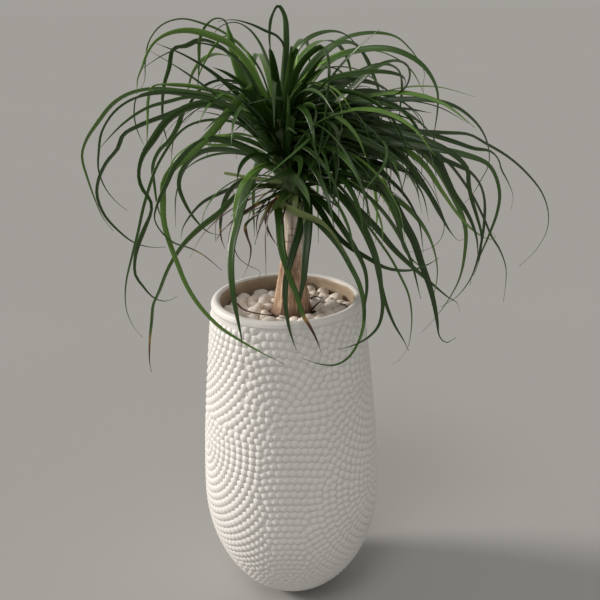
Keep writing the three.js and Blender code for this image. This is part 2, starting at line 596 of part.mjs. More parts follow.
// Out of the way of the trunk and of the pot's wall and rim
function bentClear(point) {
  const clear = point.clone();
  if (clear.z < trunkTop + leafRoom) {
    const axis = new THREE.Vector2(stemAcross(clear.z), stemDepth(clear.z));
    const out = new THREE.Vector2(clear.x, clear.y).sub(axis);
    const least = trunkRadius(Math.min(clear.z, trunkTop)) + leafRoom;
    if (out.length() < least) {
      out.setLength(least).add(axis);
      clear.set(out.x, out.y, clear.z);
    }
  }
  if (clear.z < potHeight + leafRoom) {
    const out = Math.hypot(clear.x, clear.y);
    const least = potRadius(Math.min(clear.z, potHeight)) + leafRoom;
    if (out < least) {
      clear.set(clear.x * least / out, clear.y * least / out, clear.z);
    }
  }
  return clear;
}

// A leaf read off the view: its depth grows like a quarter sine along the path, quickly at first
function seenLeaf({ root, width, reach, roll, path, tip = tipWidth }) {
  const steps = path.map(([x, z], i) => {
    const [px, pz] = i ? path[i - 1] : [stemAcross(root), root];
    return Math.hypot(x - px, z - pz);
  });
  const total = steps.reduce((sum, step) => sum + step, 0);
  const points = [new THREE.Vector3(stemAcross(root), stemDepth(root), root)];
  let run = 0;
  path.forEach(([x, z], i) => {
    run += steps[i];
    points.push(bentClear(placeSeen(x, z, reach * Math.sin(Math.PI / 2 * run / total))));
  });
  return { points, width, tip, roll: THREE.MathUtils.degToRad(roll) };
}

// A leaf by rule: it leaves the stem at a pitch, bends over as it goes, and swings a little to one side
function arcLeaf({ root, heading, pitch, bend, length, width, swing, roll }) {
  const points = [new THREE.Vector3(stemAcross(root), stemDepth(root), root)];
  for (let i = 1; i <= arcSteps; i++) {
    const share = (i - 0.5) / arcSteps;
    const slope = THREE.MathUtils.degToRad(pitch - bend * share ** 1.15);
    const yaw = heading + THREE.MathUtils.degToRad(swing) * share * share;
    const step = new THREE.Vector3(Math.cos(slope) * Math.cos(yaw), Math.cos(slope) * Math.sin(yaw),
      Math.sin(slope));
    points.push(points[i - 1].clone().addScaledVector(step, length / arcSteps));
  }
  return { points: points.map((p, i) => (i ? bentClear(p) : p)), width, tip: tipWidth,
    roll: THREE.MathUtils.degToRad(roll) };
}

// More of these go to the front, the back and the right, and those at the sides and the front are shorter
function drawnLeaf(index, draw) {
  const rule = drawnLeaves;
  const youth = index / rule.count;
  const turn = index * goldenAngle;
  const heading = turn - 0.4 * Math.sin(turn) + 0.2 * Math.sin(2 * turn);
  const shorter = (1 - rule.shorter.young * youth) * (1 - rule.shorter.front * Math.max(0, -Math.sin(heading))
    - rule.shorter.aside * Math.cos(heading) ** 2 - rule.shorter.left * Math.max(0, -Math.cos(heading)));
  const leaf = arcLeaf({
    root: between(rule.root, youth),
    heading,
    pitch: between(rule.pitch, youth) + rule.pitchSpread * (draw() - 0.5),
    bend: between(rule.bend, youth) + rule.bendSpread * (draw() - 0.5),
    length: between(rule.length, draw()) * shorter,
    width: between(rule.width, draw()),
    swing: rule.swing * (draw() - 0.5),
    roll: rule.roll * (draw() - 0.5),
  });
  const beforeTrunk = youth < rule.frontGap.older && -Math.sin(heading) > rule.frontGap.squarely;
  return beforeTrunk ? [] : [leaf];
}

function thicketLeaf(index, draw) {
  const rule = thicketLeaves;
  return arcLeaf({
    root: between(rule.root, draw()),
    heading: THREE.MathUtils.degToRad(between(rule.heading, (index + 0.5) / rule.count)),
    pitch: between(rule.pitch, draw()),
    bend: between(rule.bend, draw()),
    length: between(rule.length, draw()),
    width: between(rule.width, draw()),
    swing: rule.swing * (draw() - 0.5),
    roll: rule.roll * (draw() - 0.5),
  });
}

// Width along a leaf: a clasping base, a long even stretch and a thread-thin tip
function bladeWidth(width, tip, share) {
  const base = between([baseShare, 1], smoothStep(share / baseLength));
  return Math.max(tip, width * base * (1 - share ** 2.2) ** 0.9);
}

// A blade as a three-sided bar: two edges and a keel. Its face keeps its turn along the path and is rolled,
// less so where the path bends sharply, because a blade bends over its face and not in its own plane.
function bladeSolid({ points, width, tip, roll }) {
  const count = points.length - 1;
  const heading = points[count].clone().sub(points[0]).setZ(0);
  const side = new THREE.Vector3(-heading.y, heading.x, 0).normalize();
  const places = [];
  for (let i = 0; i <= count; i++) {
    const before = points[Math.max(0, i - 1)];
    const after = points[Math.min(count, i + 1)];
    const along = after.clone().sub(before).normalize();
    side.addScaledVector(along, -side.dot(along)).normalize();
    const inward = points[i].clone().sub(before).normalize();
    const outward = after.clone().sub(points[i]).normalize();
    const turning = i > 0 && i < count ? inward.angleTo(outward) : 0;
    const rolled = roll / (1 + 2 * turning * turning);
    const across = side.clone().applyAxisAngle(along, rolled);
    const down = along.clone().cross(across).normalize();
    const half = bladeWidth(width, tip, i / count) / 2;
    const keel = Math.max(leastKeel, 2 * half * keelShare);
    places.push(points[i].clone().addScaledVector(across, half));
    places.push(points[i].clone().addScaledVector(across, -half));
    places.push(points[i].clone().addScaledVector(down, keel));
  }
  const faces = [0, 1, 2];
  for (let i = 0; i < count; i++) {
    for (let k = 0; k < 3; k++) {
      const [a, b] = [3 * i + k, 3 * i + (k + 1) % 3];
      faces.push(a, a + 3, b, b, a + 3, b + 3);
    }
  }
  faces.push(3 * count + 2, 3 * count + 1, 3 * count);
  const build = (order) => new wasm.Manifold(new wasm.Mesh({
    numProp: 3,
    vertProperties: new Float32Array(places.flatMap((p) => [p.x, p.y, p.z])),
    triVerts: new Uint32Array(order),
  }));
  const solid = build(faces);
  return solid.volume() > 0 ? solid : build(faces.reverse());
}

function makeLeafHead() {
  const draw = makeDraws(2024);
  const leaves = Object.values(seenLeaves).map(seenLeaf);
  for (let i = 0; i < drawnLeaves.count; i++) {
    leaves.push(...drawnLeaf(i, draw));
  }
  for (let i = 0; i < thicketLeaves.count; i++) {
    leaves.push(thicketLeaf(i, draw));
  }
  return mainBody(joinAll([coreSolid(), ...leaves.map(bladeSolid)]).simplify(leastEdge));
}

function makeMesh(name, geometry, color, roughness) {
  const mesh = new THREE.Mesh(geometry, new THREE.MeshStandardMaterial({ color, roughness, metalness: 0 }));
  mesh.name = name;
  return mesh;
}

const planter = new THREE.Group();
planter.add(makeMesh("pot", toGeometry(makePot()), 0xe9e6e2, 0.45));
planter.add(makeMesh("soil", toGeometry(makeSoil()), 0x3a2a1f, 0.95));
planter.add(makeMesh("pebbles", toGeometry(makePebbles()), 0xd9cfc5, 0.6));

const palm = new THREE.Group();
palm.add(makeMesh("trunk", toGeometry(trunkSolid(0)), 0xa88a68, 0.85));
palm.add(makeMesh("leaf_head", toGeometry(makeLeafHead()), 0x2c5a25, 0.45));

const pottedPalm = new THREE.Group();
pottedPalm.add(planter, palm);

export default pottedPalm;
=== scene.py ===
import bmesh
import bpy
import numpy as np
from mathutils import Matrix, Vector


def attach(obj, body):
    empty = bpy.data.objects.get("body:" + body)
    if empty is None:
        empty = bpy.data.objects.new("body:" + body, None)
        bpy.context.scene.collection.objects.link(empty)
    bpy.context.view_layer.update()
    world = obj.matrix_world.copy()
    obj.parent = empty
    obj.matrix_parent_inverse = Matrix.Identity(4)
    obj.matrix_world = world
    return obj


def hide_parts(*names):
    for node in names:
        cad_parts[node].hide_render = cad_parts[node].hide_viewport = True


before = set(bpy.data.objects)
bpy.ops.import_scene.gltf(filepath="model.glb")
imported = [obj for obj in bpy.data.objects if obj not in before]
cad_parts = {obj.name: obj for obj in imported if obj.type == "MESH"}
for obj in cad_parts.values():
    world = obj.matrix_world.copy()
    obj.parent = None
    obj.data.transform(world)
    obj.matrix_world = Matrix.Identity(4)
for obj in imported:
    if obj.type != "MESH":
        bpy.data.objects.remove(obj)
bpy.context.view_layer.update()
mm = 0.001  # shapes are worked out in millimetres and put into the meshes in metres
body = "root"
goldenAngle = np.radians(137.508)
print("frame loaded")


def drawsFrom(state):  # a seeded row of even draws between 0 and 1
    while True:
        state = (state * 1664525 + 1013904223) % 2**32
        yield state / 2**32


def drawRows(draw, rows, columns):
    return np.array([[next(draw) for _ in range(columns)] for _ in range(rows)])


def smoothStep(value):
    share = np.clip(value, 0, 1)
    return share * share * (3 - 2 * share)


def between(ends, share):
    return ends[0] + (ends[1] - ends[0]) * share


def unit(rows):
    return rows / np.maximum(np.linalg.norm(rows, axis=-1, keepdims=True), 1e-9)


def anglesRound(sides):
    return np.arange(sides) * 2 * np.pi / sides


def turned(first, second, angle):  # two coordinates turned in their plane, by cosine and sine
    return first * np.cos(angle) - second * np.sin(angle), first * np.sin(angle) + second * np.cos(angle)


def toLinear(hexColour):  # an sRGB hex colour as linear red, green, blue and alpha
    parts = np.array([int(hexColour[i:i + 2], 16) for i in (1, 3, 5)]) / 255
    linear = np.where(parts <= 0.04045, parts / 12.92, ((parts + 0.055) / 1.055) ** 2.4)
    return (*linear.tolist(), 1.0)


def addToScene(name, data, turn=None):
    thing = bpy.data.objects.new(name, data)
    if turn:
        thing.matrix_world = turn
    bpy.context.scene.collection.objects.link(thing)
    return thing


def makePiece(name, points, faceRows, material, node=None, marks=None):
    # points in millimetres, faces as arrays of three or more corners, marks as one number for each point
    mesh = bpy.data.meshes.new(name)
    mesh.vertices.add(len(points))
    mesh.vertices.foreach_set("co", (np.asarray(points, float) * mm).ravel())
    corners = np.concatenate([rows.ravel() for rows in faceRows])
    sizes = np.concatenate([np.full(len(rows), rows.shape[1]) for rows in faceRows])
    mesh.loops.add(len(corners))
    mesh.loops.foreach_set("vertex_index", corners)
    mesh.polygons.add(len(sizes))
    mesh.polygons.foreach_set("loop_start", np.concatenate([[0], np.cumsum(sizes)[:-1]]))
    mesh.polygons.foreach_set("loop_total", sizes)
    mesh.update(calc_edges=True)
    mesh.shade_smooth()
    for key, values in (marks or {}).items():
        mesh.attributes.new(key, "FLOAT", "POINT").data.foreach_set("value", np.asarray(values, float))
    mesh.materials.append(material)
    piece = addToScene(name, mesh)
    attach(piece, body)
    if node:
        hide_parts(node)
    print(name, "made with", int((sizes - 2).sum()), "triangles")


def gridFaces(rows, sides):  # four-sided faces of a grid of points that closes on itself across
    row = np.arange(rows - 1)[:, None] * sides
    here = np.arange(sides)[None]
    beside = (here + 1) % sides
    return np.stack([row + here, row + beside, row + sides + beside, row + sides + here], -1).reshape(-1, 4)


def bottleFaces(rows, sides):  # a grid closed by fans to two points that come after it
    here = np.arange(sides)
    beside = np.roll(here, -1)
    top = (rows - 1) * sides
    fans = np.concatenate([np.stack([np.full(sides, rows * sides), beside, here], -1),
                           np.stack([np.full(sides, rows * sides + 1), top + here, top + beside], -1)])
    return [gridFaces(rows, sides), fans]


def tubeFaces(rows, sides):  # a grid wound the other way round, closed by a flat cap at each end
    cap = np.arange(sides)
    return [gridFaces(rows, sides)[:, ::-1], np.stack([cap, (rows - 1) * sides + cap[::-1]])]


def forEach(faces, many, size, start=0):  # one shape's faces, for each of many shapes of so many points
    return (faces[None] + (np.arange(many) * size)[:, None, None]).reshape(-1, faces.shape[-1]) + start


def turnProfile(profile, sides):
    # a profile [radius, height] from the axis back to the axis, carried round Z: radius times cosine and sine
    angle = anglesRound(sides)
    radius, height = profile[1:-1, :1], profile[1:-1, 1:]
    wall = np.stack([radius * np.cos(angle), radius * np.sin(angle), height + 0 * angle], -1).reshape(-1, 3)
    ends = [[0, 0, profile[0, 1]], [0, 0, profile[-1, 1]]]
    return np.concatenate([wall, ends]), bottleFaces(len(profile) - 2, sides)


# The planter

planter = dict(
    height=332, rimRadius=75, bellyRadius=92.8, bellyHeight=121,
    undersideAxis=125, undersideCentre=6,  # the quarter ellipse under the belly
    wall=9, floor=10, lip=4.5, lipSteps=13, sides=144,
    # the heights of the rows of points, from and to and how many: at the foot they crowd together by a power
    crowding=1.6, footRows=(60, 22), outerRows=[(66, 320, 34), (323, 327, 7)],
    insideFootRows=(50, 8), innerRows=[(325, 296, 9), (285, 70, 12)],
    beadRise=1.9, beadRadius=0.61,  # millimetres, and a share of the spacing: they run together
    valley=0.9,  # how deep the wall lies between them, as a share of the height: the glaze has filled it
    beadSides=8, dome=[(0.4, 0.82), (0.78, 0.34), (1.1, -0.1)],  # share of the radius and share of the rise
    spacing=[(0, 6.2), (60, 7.0), (121, 7.5), (332, 7.9)],  # from ring to ring at some heights
    beadsPerUnit=1.04,  # along a ring they lie a little closer
    beadTop=323, beadFade=5, beadBottom=3, ringCount=40,
    # middles of the rings of beads: degrees round from the front, and height
    ringMiddles=[(-79, 192), (-2, 40), (-8, 240), (-112, 326), (80, 147), (84, 270), (138, 205), (172, 92),
                 (-160, 230), (-120, 84)],
    # the stretches that were read off the photograph: which middle owns one, its degrees from and to, and its
    # heights from and to; elsewhere a bead goes to its nearest middle
    stretches=[(0, -104, -17, 0, 215), (1, -17, 9, 0, 165), (1, -17, 27, 165, 225), (2, -27, 27, 225, 332),
               (3, -104, -27, 215, 332), (4, 9, 27, 0, 165), (4, 27, 100, 0, 158), (5, 27, 100, 158, 332)],
    # shares of the spacing, for the seams between the rings
    overlap=0.5, least=0.62, evenTo=0.96, evenWithin=1.9, evenSteps=60, evenPush=0.25,
)


def underside(height, axis, radius):  # the quarter ellipse up to the belly
    middle = planter["undersideCentre"]
    below = np.clip((planter["bellyHeight"] - height) / axis, 0, 1)
    return middle + (radius - middle) * np.sqrt(1 - below**2)


def potRadius(height):  # from the belly it goes in to the rim by the power of one and a half
    p = planter
    above = np.clip((height - p["bellyHeight"]) / (p["height"] - p["bellyHeight"]), 0, 1)
    return np.where(height < p["bellyHeight"], underside(height, p["undersideAxis"], p["bellyRadius"]),
                    p["bellyRadius"] - (p["bellyRadius"] - p["rimRadius"]) * above**1.5)


def insideRadius(height):  # a wall's thickness inside, on a shallower ellipse
    p = planter
    under = underside(height, p["undersideAxis"] - p["floor"] + 1, p["bellyRadius"] - p["wall"])
    return np.where(height < p["bellyHeight"], under, potRadius(height) - p["wall"])


def beadSpacing(height):
    return np.interp(height, *np.array(planter["spacing"]).T)


def beadWall(height, share=1):  # the foot of the beads lies deeper than the plain band under the lip
    plain = smoothStep((height - planter["beadTop"]) / planter["beadFade"])
    return potRadius(height) - share * planter["beadRise"] * (1 - plain)


def gapTo(middle, level, beadUp, angle):  # distance from the middle of a ring in units of the spacing
    turn = (angle - middle[0] + np.pi) % (2 * np.pi) - np.pi
    halfway = 0.5 * (level + middle[1])
    return np.hypot(turn * beadWall(halfway) / beadSpacing(halfway), beadUp - middle[2])


def gapToStretch(stretch, level, angle):  # the same to the edge of a stretch, and less than nothing inside it
    _, left, right, bottom, top = stretch
    turn = (angle + np.pi) % (2 * np.pi) - np.pi
    across = np.maximum(np.radians(left) - turn, turn - np.radians(right)) * beadWall(level)
    return np.maximum(across, np.maximum(bottom - level, level - top)) / beadSpacing(level)


def ringsOfBeads():
    # The wall is unrolled in units of the spacing: up is the profile's length over the spacing, across is the
    # arc over the spacing. Round each middle, ring k holds 2 pi k beads at k units, and a bead stays where
    # its own middle owns the wall or is the nearest. Returns the beads' angles, heights and gaps.
    p = planter
    height = np.linspace(p["beadBottom"], p["beadTop"], 800)
    step = np.hypot(np.diff(height), np.diff(beadWall(height)))
    up = np.concatenate([[0], np.cumsum(step / beadSpacing(height[1:]))])
    middles = [(np.radians(turn), level, np.interp(level, height, up)) for turn, level in p["ringMiddles"]]
    count = np.maximum(1, np.round(2 * np.pi * p["beadsPerUnit"] * np.arange(p["ringCount"]))).astype(int)
    ring = np.repeat(np.arange(p["ringCount"]), count)
    place = np.arange(len(ring)) - np.repeat(np.cumsum(count) - count, count)
    turn = 2 * np.pi * place / count[ring]
    beads = []
    for index, (middleTurn, middleLevel, middleUp) in enumerate(middles):
        beadUp = middleUp + ring * np.sin(turn)
        inside = (beadUp > 0) & (beadUp < up[-1])
        beadUp, across = beadUp[inside], (ring * np.cos(turn))[inside]
        level = np.interp(beadUp, up, height)
        halfway = 0.5 * (level + middleLevel)
        angle = middleTurn + across * beadSpacing(halfway) / beadWall(halfway)
        gaps = np.stack([gapTo(middle, level, beadUp, angle) for middle in middles])
        gaps = gaps - gaps.min(0)
        away = np.stack([gapToStretch(stretch, level, angle) for stretch in p["stretches"]])
        gaps[:, (away <= 0).any(0)] = np.inf
        for stretch, gap in zip(p["stretches"], away):
            gaps[stretch[0]] = np.minimum(gaps[stretch[0]], np.maximum(gap, 0))
        keep = (gaps[index] <= p["overlap"]) & (np.abs(angle - middleTurn) < np.pi)
        beads.append(np.stack([angle[keep], level[keep], gaps[index][keep]], -1))
    return np.concatenate(beads)


def onWall(angle, height):
    radius = beadWall(height)
    return np.stack([radius * np.sin(angle), -radius * np.cos(angle), height], -1)


def nearPairs(places, most):  # pairs of places no further apart than the most, the earlier one first
    squares = (places**2).sum(-1)
    apart = squares[:, None] + squares[None] - 2 * places @ places.T
    return np.nonzero(np.triu(apart < most**2, 1))


def evenBeads(beads):
    # where two families of rings meet, the later of two beads that crowd each other goes, and those that
    # are left push each other apart until the seam is as even as the rings
    p = planter
    order = np.argsort(beads[:, 2], kind="stable")
    angle, height = beads[order, 0], beads[order, 1]
    places = onWall(angle, height).astype(np.float32)
    first, second = nearPairs(places, p["evenWithin"] * p["spacing"][-1][1])
    close = np.linalg.norm(places[first] - places[second], axis=-1) < p["least"] * beadSpacing(height[first])
    gone = np.zeros(len(places), bool)
    for one, two in zip(first[close], second[close]):
        if not gone[one]:
            gone[two] = True
    stays = ~gone
    renumber = np.cumsum(stays) - 1
    both = stays[first] & stays[second]
    first, second = renumber[first[both]], renumber[second[both]]
    angle, height = angle[stays], height[stays]
    for _ in range(p["evenSteps"]):
        places = onWall(angle, height)
        apart = places[first] - places[second]
        gap = np.linalg.norm(apart, axis=-1)
        wanted = p["evenTo"] * beadSpacing(height[first])
        push = p["evenPush"] * (np.clip(wanted - gap, 0, None) / gap)[:, None] * apart
        move = np.zeros_like(places)
        np.add.at(move, first, push)
        np.add.at(move, second, -push)
        angle = angle + (move[:, 0] * np.cos(angle) + move[:, 1] * np.sin(angle)) / beadWall(height)
        height = np.clip(height + move[:, 2], p["beadBottom"], p["beadTop"])
    return angle, height


def beadMeshes(angle, height):
    # a bead is a low dome on the wall: rings of points at shares of its radius and of its rise
    p = planter
    slope = beadWall(height + 0.5) - beadWall(height - 0.5)
    sideways = np.stack([np.cos(angle), np.sin(angle), np.zeros_like(angle)], -1)
    outward = unit(np.stack([np.sin(angle), -np.cos(angle), -slope], -1))
    upward = np.cross(outward, sideways)
    middle = onWall(angle, height)
    radius = beadSpacing(height) * p["beadRadius"]
    rise = p["beadRise"] * beadSpacing(height) / p["spacing"][-1][1]
    points = [middle + outward * rise[:, None]]
    for share, level in p["dome"]:
        for turn in anglesRound(p["beadSides"]):
            aside = sideways * np.cos(turn) + upward * np.sin(turn)
            points.append(middle + aside * (radius * share)[:, None] + outward * (rise * level)[:, None])
    sides = p["beadSides"]
    here = np.arange(sides) + 1
    cap = np.stack([np.zeros(sides, int), here, np.roll(here, -1)], -1)
    bands = gridFaces(len(p["dome"]), sides)[:, [0, 3, 2, 1]] + 1
    last = sides * (len(p["dome"]) - 1) + 1
    fan = last + np.arange(1, sides)
    under = np.stack([np.full(sides - 2, last), fan[1:], fan[:-1]], -1)
    return np.stack(points, 1), np.concatenate([cap, under]), bands


def buildPlanter(material):
    # the shell is a profile from the foot up outside, over the half-round lip and down inside
    p = planter
    lipMiddle = p["rimRadius"] - p["lip"]
    arc = np.radians(np.linspace(0, 180, p["lipSteps"]))
    lip = np.stack([lipMiddle + p["lip"] * np.cos(arc), p["height"] - p["lip"] + p["lip"] * np.sin(arc)], -1)
    foot, insideFoot = (most * np.linspace(0, 1, count)**p["crowding"]
                        for most, count in (p["footRows"], p["insideFootRows"]))
    outside = np.concatenate([foot, *[np.linspace(*rows) for rows in p["outerRows"]]])
    inside = np.concatenate([*[np.linspace(*rows) for rows in p["innerRows"]], p["floor"] + insideFoot[::-1]])
    outer = beadWall(outside, p["valley"])
    outer[0] = potRadius(0.0) - 1
    profile = np.concatenate([[[0, 0]], np.stack([outer, outside], -1), lip,
                              np.stack([insideRadius(inside), inside], -1), [[0, p["floor"]]]])
    shell, faces = turnProfile(profile, p["sides"])
    x, y, z = shell.T
    radius = np.hypot(x, y)
    within = (radius < lipMiddle - 1) & (z > p["floor"] - 1) & (radius < insideRadius(z) + 1)
    domes, *domeFaces = beadMeshes(*evenBeads(ringsOfBeads()))
    many, size = domes.shape[:2]
    print("beads", many)
    faces += [forEach(rows, many, size, len(shell)) for rows in domeFaces]
    makePiece("planter", np.concatenate([shell, domes.reshape(-1, 3)]), faces, material, "pot",
              {"inside": np.concatenate([within, np.zeros(many * size)])})


# The trunk, with its buried bulb

trunk = dict(
    ground=315, top=425, footRadius=19.5, neckRadius=8, thinning=50,
    bulbRadius=23, bulbHeight=298, bulbDepth=38,  # the buried bulb is a half round
    depth=-4, footAcross=4.5, lean=5,
    headMiddle=480, headAcross=-2,
    around=120, rows=176, bulbRows=14,
    # furrows are waves round the stem: how many, how high, how much they drift, height for a radian, phase
    waves=[(5, 0.5, 1, np.inf, 0), (11, 0.32, -1.4, np.inf, 0.6), (19, 0.22, 0, 9, 0), (31, 0.16, 0, -5, 2)],
    drift=[(0.9, 31, 0), (0.5, 13, 1.7)],  # how much, height for a radian, phase
    furrows=1.0, plates=0.55, crackDepth=0.9, crackWidth=0.75, oval=0.05, ovalFades=60,
    cracks=[(397.5, 0.9), (389, 1.3), (404, 0.6), (375, 0.5), (362, 0.4), (346, 0.5)],  # height and depth
)


def headShare(height):  # from 0 at the trunk's top to 1 in the middle of the head
    return smoothStep((height - trunk["top"]) / (trunk["headMiddle"] - trunk["top"]))


def stemAcross(height):  # the trunk leans over the pot, and the stem in the head leans back
    t = trunk
    leaning = t["footAcross"] + t["lean"] * smoothStep((height - t["ground"]) / (t["top"] - t["ground"]))
    return leaning * (1 - headShare(height)) + t["headAcross"] * headShare(height)


def stemDepth(height):
    return trunk["depth"] * (1 - headShare(height))


def trunkRadius(height):  # above the ground the flare dies away, and the buried bulb is a half round
    t = trunk
    flare = np.exp(-np.maximum(height - t["ground"], 0) / t["thinning"])
    above = t["neckRadius"] + (t["footRadius"] - t["neckRadius"]) * flare
    share = smoothStep((height - t["bulbHeight"]) / (t["ground"] - t["bulbHeight"]))
    down = np.clip((t["bulbHeight"] - height) / t["bulbDepth"], 0, 1)
    return np.where(height < t["bulbHeight"], t["bulbRadius"] * np.sqrt(1 - down**2),
                    t["bulbRadius"] * (1 - share) + above * share)


def buildTrunk(material):
    # The radius at an angle and a height is the flare, a little oval at the foot, plus furrows, whose phase
    # drifts with height, plus flat plates between them, minus narrow rings where the bark has cracked across.
    # A plate is a wave up the stem, bent by one round it, times a slanting one. A crack wanders up and down
    # by two waves round the stem, and its depth falls off like a bell curve.
    t = trunk
    bulb = t["bulbHeight"] - t["bulbDepth"] * np.cos(np.radians(np.linspace(5, 85, t["bulbRows"])))
    height = np.concatenate([bulb, np.linspace(t["bulbHeight"], t["top"], t["rows"])])[:, None]
    turn = anglesRound(t["around"])[None]
    drift = sum(much * np.sin(height / rise + phase) for much, rise, phase in t["drift"])
    furrow = sum(high * np.sin(many * turn + drifting * drift + height / rise + phase)
                 for many, high, drifting, rise, phase in t["waves"])
    plate = np.sin(height / 3.1 + 1.3 * np.sin(3 * turn + 0.4)) * np.sin(7 * turn + height / 17)
    radius = trunkRadius(height)
    relief = furrow * t["furrows"] * radius / 16 + plate * t["plates"] * radius / 20
    crack = np.zeros_like(relief)
    for level, depth in t["cracks"]:
        wander = level + 1.2 * np.sin(2 * turn + level) + 0.5 * np.sin(5 * turn + 2 * level)
        ring = np.exp(-((height - wander) / t["crackWidth"]) ** 2)
        crack += depth * ring * (0.55 + 0.45 * np.sin(turn + level))
    spread = 1 + t["oval"] * np.sin(2 * turn + 0.8) * np.exp(-(height - t["ground"]) / t["ovalFades"])
    radius = radius * spread + relief - crack * t["crackDepth"]
    points = np.stack([radius * np.cos(turn) + stemAcross(height), radius * np.sin(turn) + stemDepth(height),
                       height + 0 * turn], -1).reshape(-1, 3)
    ends = [[stemAcross(level), t["depth"], level + past]
            for level, past in ((t["bulbHeight"] - t["bulbDepth"], 0), (t["top"], 1.5))]
    makePiece("barkStem", np.concatenate([points, ends]), bottleFaces(len(height), t["around"]), material,
              "trunk", {"crack": np.append(np.clip(crack, 0, 1), [0, 0]),
                                      "furrow": np.append(0.5 - 0.4 * furrow, [0, 0])})


# Potting mix and pebbles

bed = dict(
    soilTop=303, soilRough=1.6, soilThick=(0.3, 2.4), soilRings=40, soilSides=110,
    crumbs=70, crumbSize=(1.0, 3.2), crumbTurn=(-165, -15), crumbAway=(0.5, 8), crumbLevel=(308, 318),
    pebbles=[(80, 308.5), (74, 315.2)],  # how many lie in a layer and the height of their middles
    length=(5.2, 9.0), breadth=(0.78, 0.98), flatness=(0.62, 0.86), unevenness=0.055, lift=1.6, tilt=0.8,
    spread=(22, 62), touch=0.9, push=0.35, besideTrunk=0.8, besideWall=0.5, settleSteps=90,
    seed=77, crumbSeed=82,
)


def roundStone(level):  # an even ball of small triangles, as points and faces
    ball = bmesh.new()
    bmesh.ops.create_icosphere(ball, subdivisions=level, radius=1)
    points = np.array([corner.co for corner in ball.verts])
    faces = np.array([[corner.index for corner in face.verts] for face in ball.faces])
    ball.free()
    return points, faces


def settleStones(draw, size):
    # stones start spread by the golden angle and push each other away until they touch at most; they stay
    # between the trunk and the pot's wall
    inner, outer = bed["spread"]
    count = len(size)
    share = (np.arange(count) + 0.5) / count
    radius = np.sqrt(inner**2 + (outer**2 - inner**2) * share)
    turn = np.arange(count) * goldenAngle + 0.5 * next(draw)
    places = np.stack([radius * np.cos(turn), radius * np.sin(turn)], -1)
    centre = np.array([stemAcross(bed["soilTop"]), trunk["depth"]])
    least = trunkRadius(bed["soilTop"] + 10) + size * bed["besideTrunk"]
    most = insideRadius(bed["soilTop"] + 8) - size - bed["besideWall"]
    for _ in range(bed["settleSteps"]):
        apart = places[:, None] - places[None]
        gap = np.linalg.norm(apart, axis=-1) + np.eye(count) * 1e3
        wanted = bed["touch"] * (size[:, None] + size[None])
        push = np.clip(wanted - gap, 0, None)[..., None] * apart / gap[..., None]
        fromTrunk = places + bed["push"] * push.sum(1) - centre
        away = np.linalg.norm(fromTrunk, axis=-1)
        places = centre + fromTrunk * np.maximum(1, least / away)[:, None]
        out = np.linalg.norm(places, axis=-1)
        places = places * np.minimum(1, most / out)[:, None]
    return places


def buildPebbles(material):
    # a stone is a ball stretched to its three half axes, with two slow waves over it, tilted and turned
    b = bed
    draw = drawsFrom(b["seed"])
    ball, ballFaces = roundStone(3)
    layers, tones = [], []
    for count, level in b["pebbles"]:
        rows = drawRows(draw, count, 9)
        long = between(b["length"], rows[:, 0])
        size = np.stack([long, long * between(b["breadth"], rows[:, 1]),
                         long * between(b["flatness"], rows[:, 2])], -1)
        places = settleStones(draw, size[:, :2].mean(1))
        wave = 1 + b["unevenness"] * np.sin(ball @ (rows[:, 3:6] * 5).T + rows[:, 6] * 6).T[..., None]
        x, y, z = np.moveaxis(ball[None] * wave * size[:, None], -1, 0)
        y, z = turned(y, z, (rows[:, 7:8] - 0.5) * b["tilt"])
        x, y = turned(x, y, rows[:, 8:9] * np.pi)
        z = z + (level + b["lift"] * (rows[:, 6:7] - 0.5))
        layers.append(np.stack([x + places[:, :1], y + places[:, 1:], z], -1))
        tones.append(rows[:, 4])
    stones = np.concatenate(layers)
    makePiece("pebbleDressing", stones.reshape(-1, 3), [forEach(ballFaces, len(stones), len(ball))], material,
              "pebbles", {"tone": np.repeat(np.concatenate(tones), len(ball))})


def buildLooseMix(material):
    # a thin layer whose top rises and falls by three crossing waves, with crumbs lying on it round the trunk
    b = bed
    radii = np.linspace(insideRadius(b["soilTop"]) - 0.8, 1.5, b["soilRings"])
    low, high = (b["soilTop"] + level for level in b["soilThick"])
    top = np.stack([radii, np.full_like(radii, high)], -1)
    profile = np.concatenate([[[0, low], [radii[0], low]], top, [[0, high]]])
    layer, faces = turnProfile(profile, b["soilSides"])
    x, y = layer[:, 0], layer[:, 1]
    wave = (np.sin(x / 2.3 + 1.3 * np.sin(y / 3.1)) + np.sin(y / 1.9 + 1.1 * np.sin(x / 2.7))
            + np.sin((x + y) / 1.3))
    layer[:, 2] += np.where(layer[:, 2] > high - 0.5, wave * b["soilRough"] / 3, 0)
    ball, ballFaces = roundStone(2)
    rows = drawRows(drawsFrom(b["crumbSeed"]), b["crumbs"], 6)
    turn = np.radians(between(b["crumbTurn"], rows[:, 0]))
    away = trunkRadius(trunk["ground"] + 3) + between(b["crumbAway"], rows[:, 1] ** 2)
    place = np.stack([stemAcross(trunk["ground"]) + away * np.cos(turn), trunk["depth"] + away * np.sin(turn),
                      between(b["crumbLevel"], rows[:, 2] ** 0.7)], -1)
    size = between(b["crumbSize"], rows[:, 3] ** 2)[:, None] * np.stack(
        [np.ones(len(rows)), 0.7 + 0.3 * rows[:, 4], 0.5 + 0.4 * rows[:, 5]], -1)
    rough = 1 + 0.22 * np.sin(ball @ (rows[:, :3] * 9).T + 6 * rows[:, 5]).T[..., None]
    crumbs = ball[None] * rough * size[:, None] + place[:, None]
    makePiece("looseMix", np.concatenate([layer, crumbs.reshape(-1, 3)]),
              [*faces, forEach(ballFaces, len(rows), len(ball), len(layer))], material)


# The head of leaves

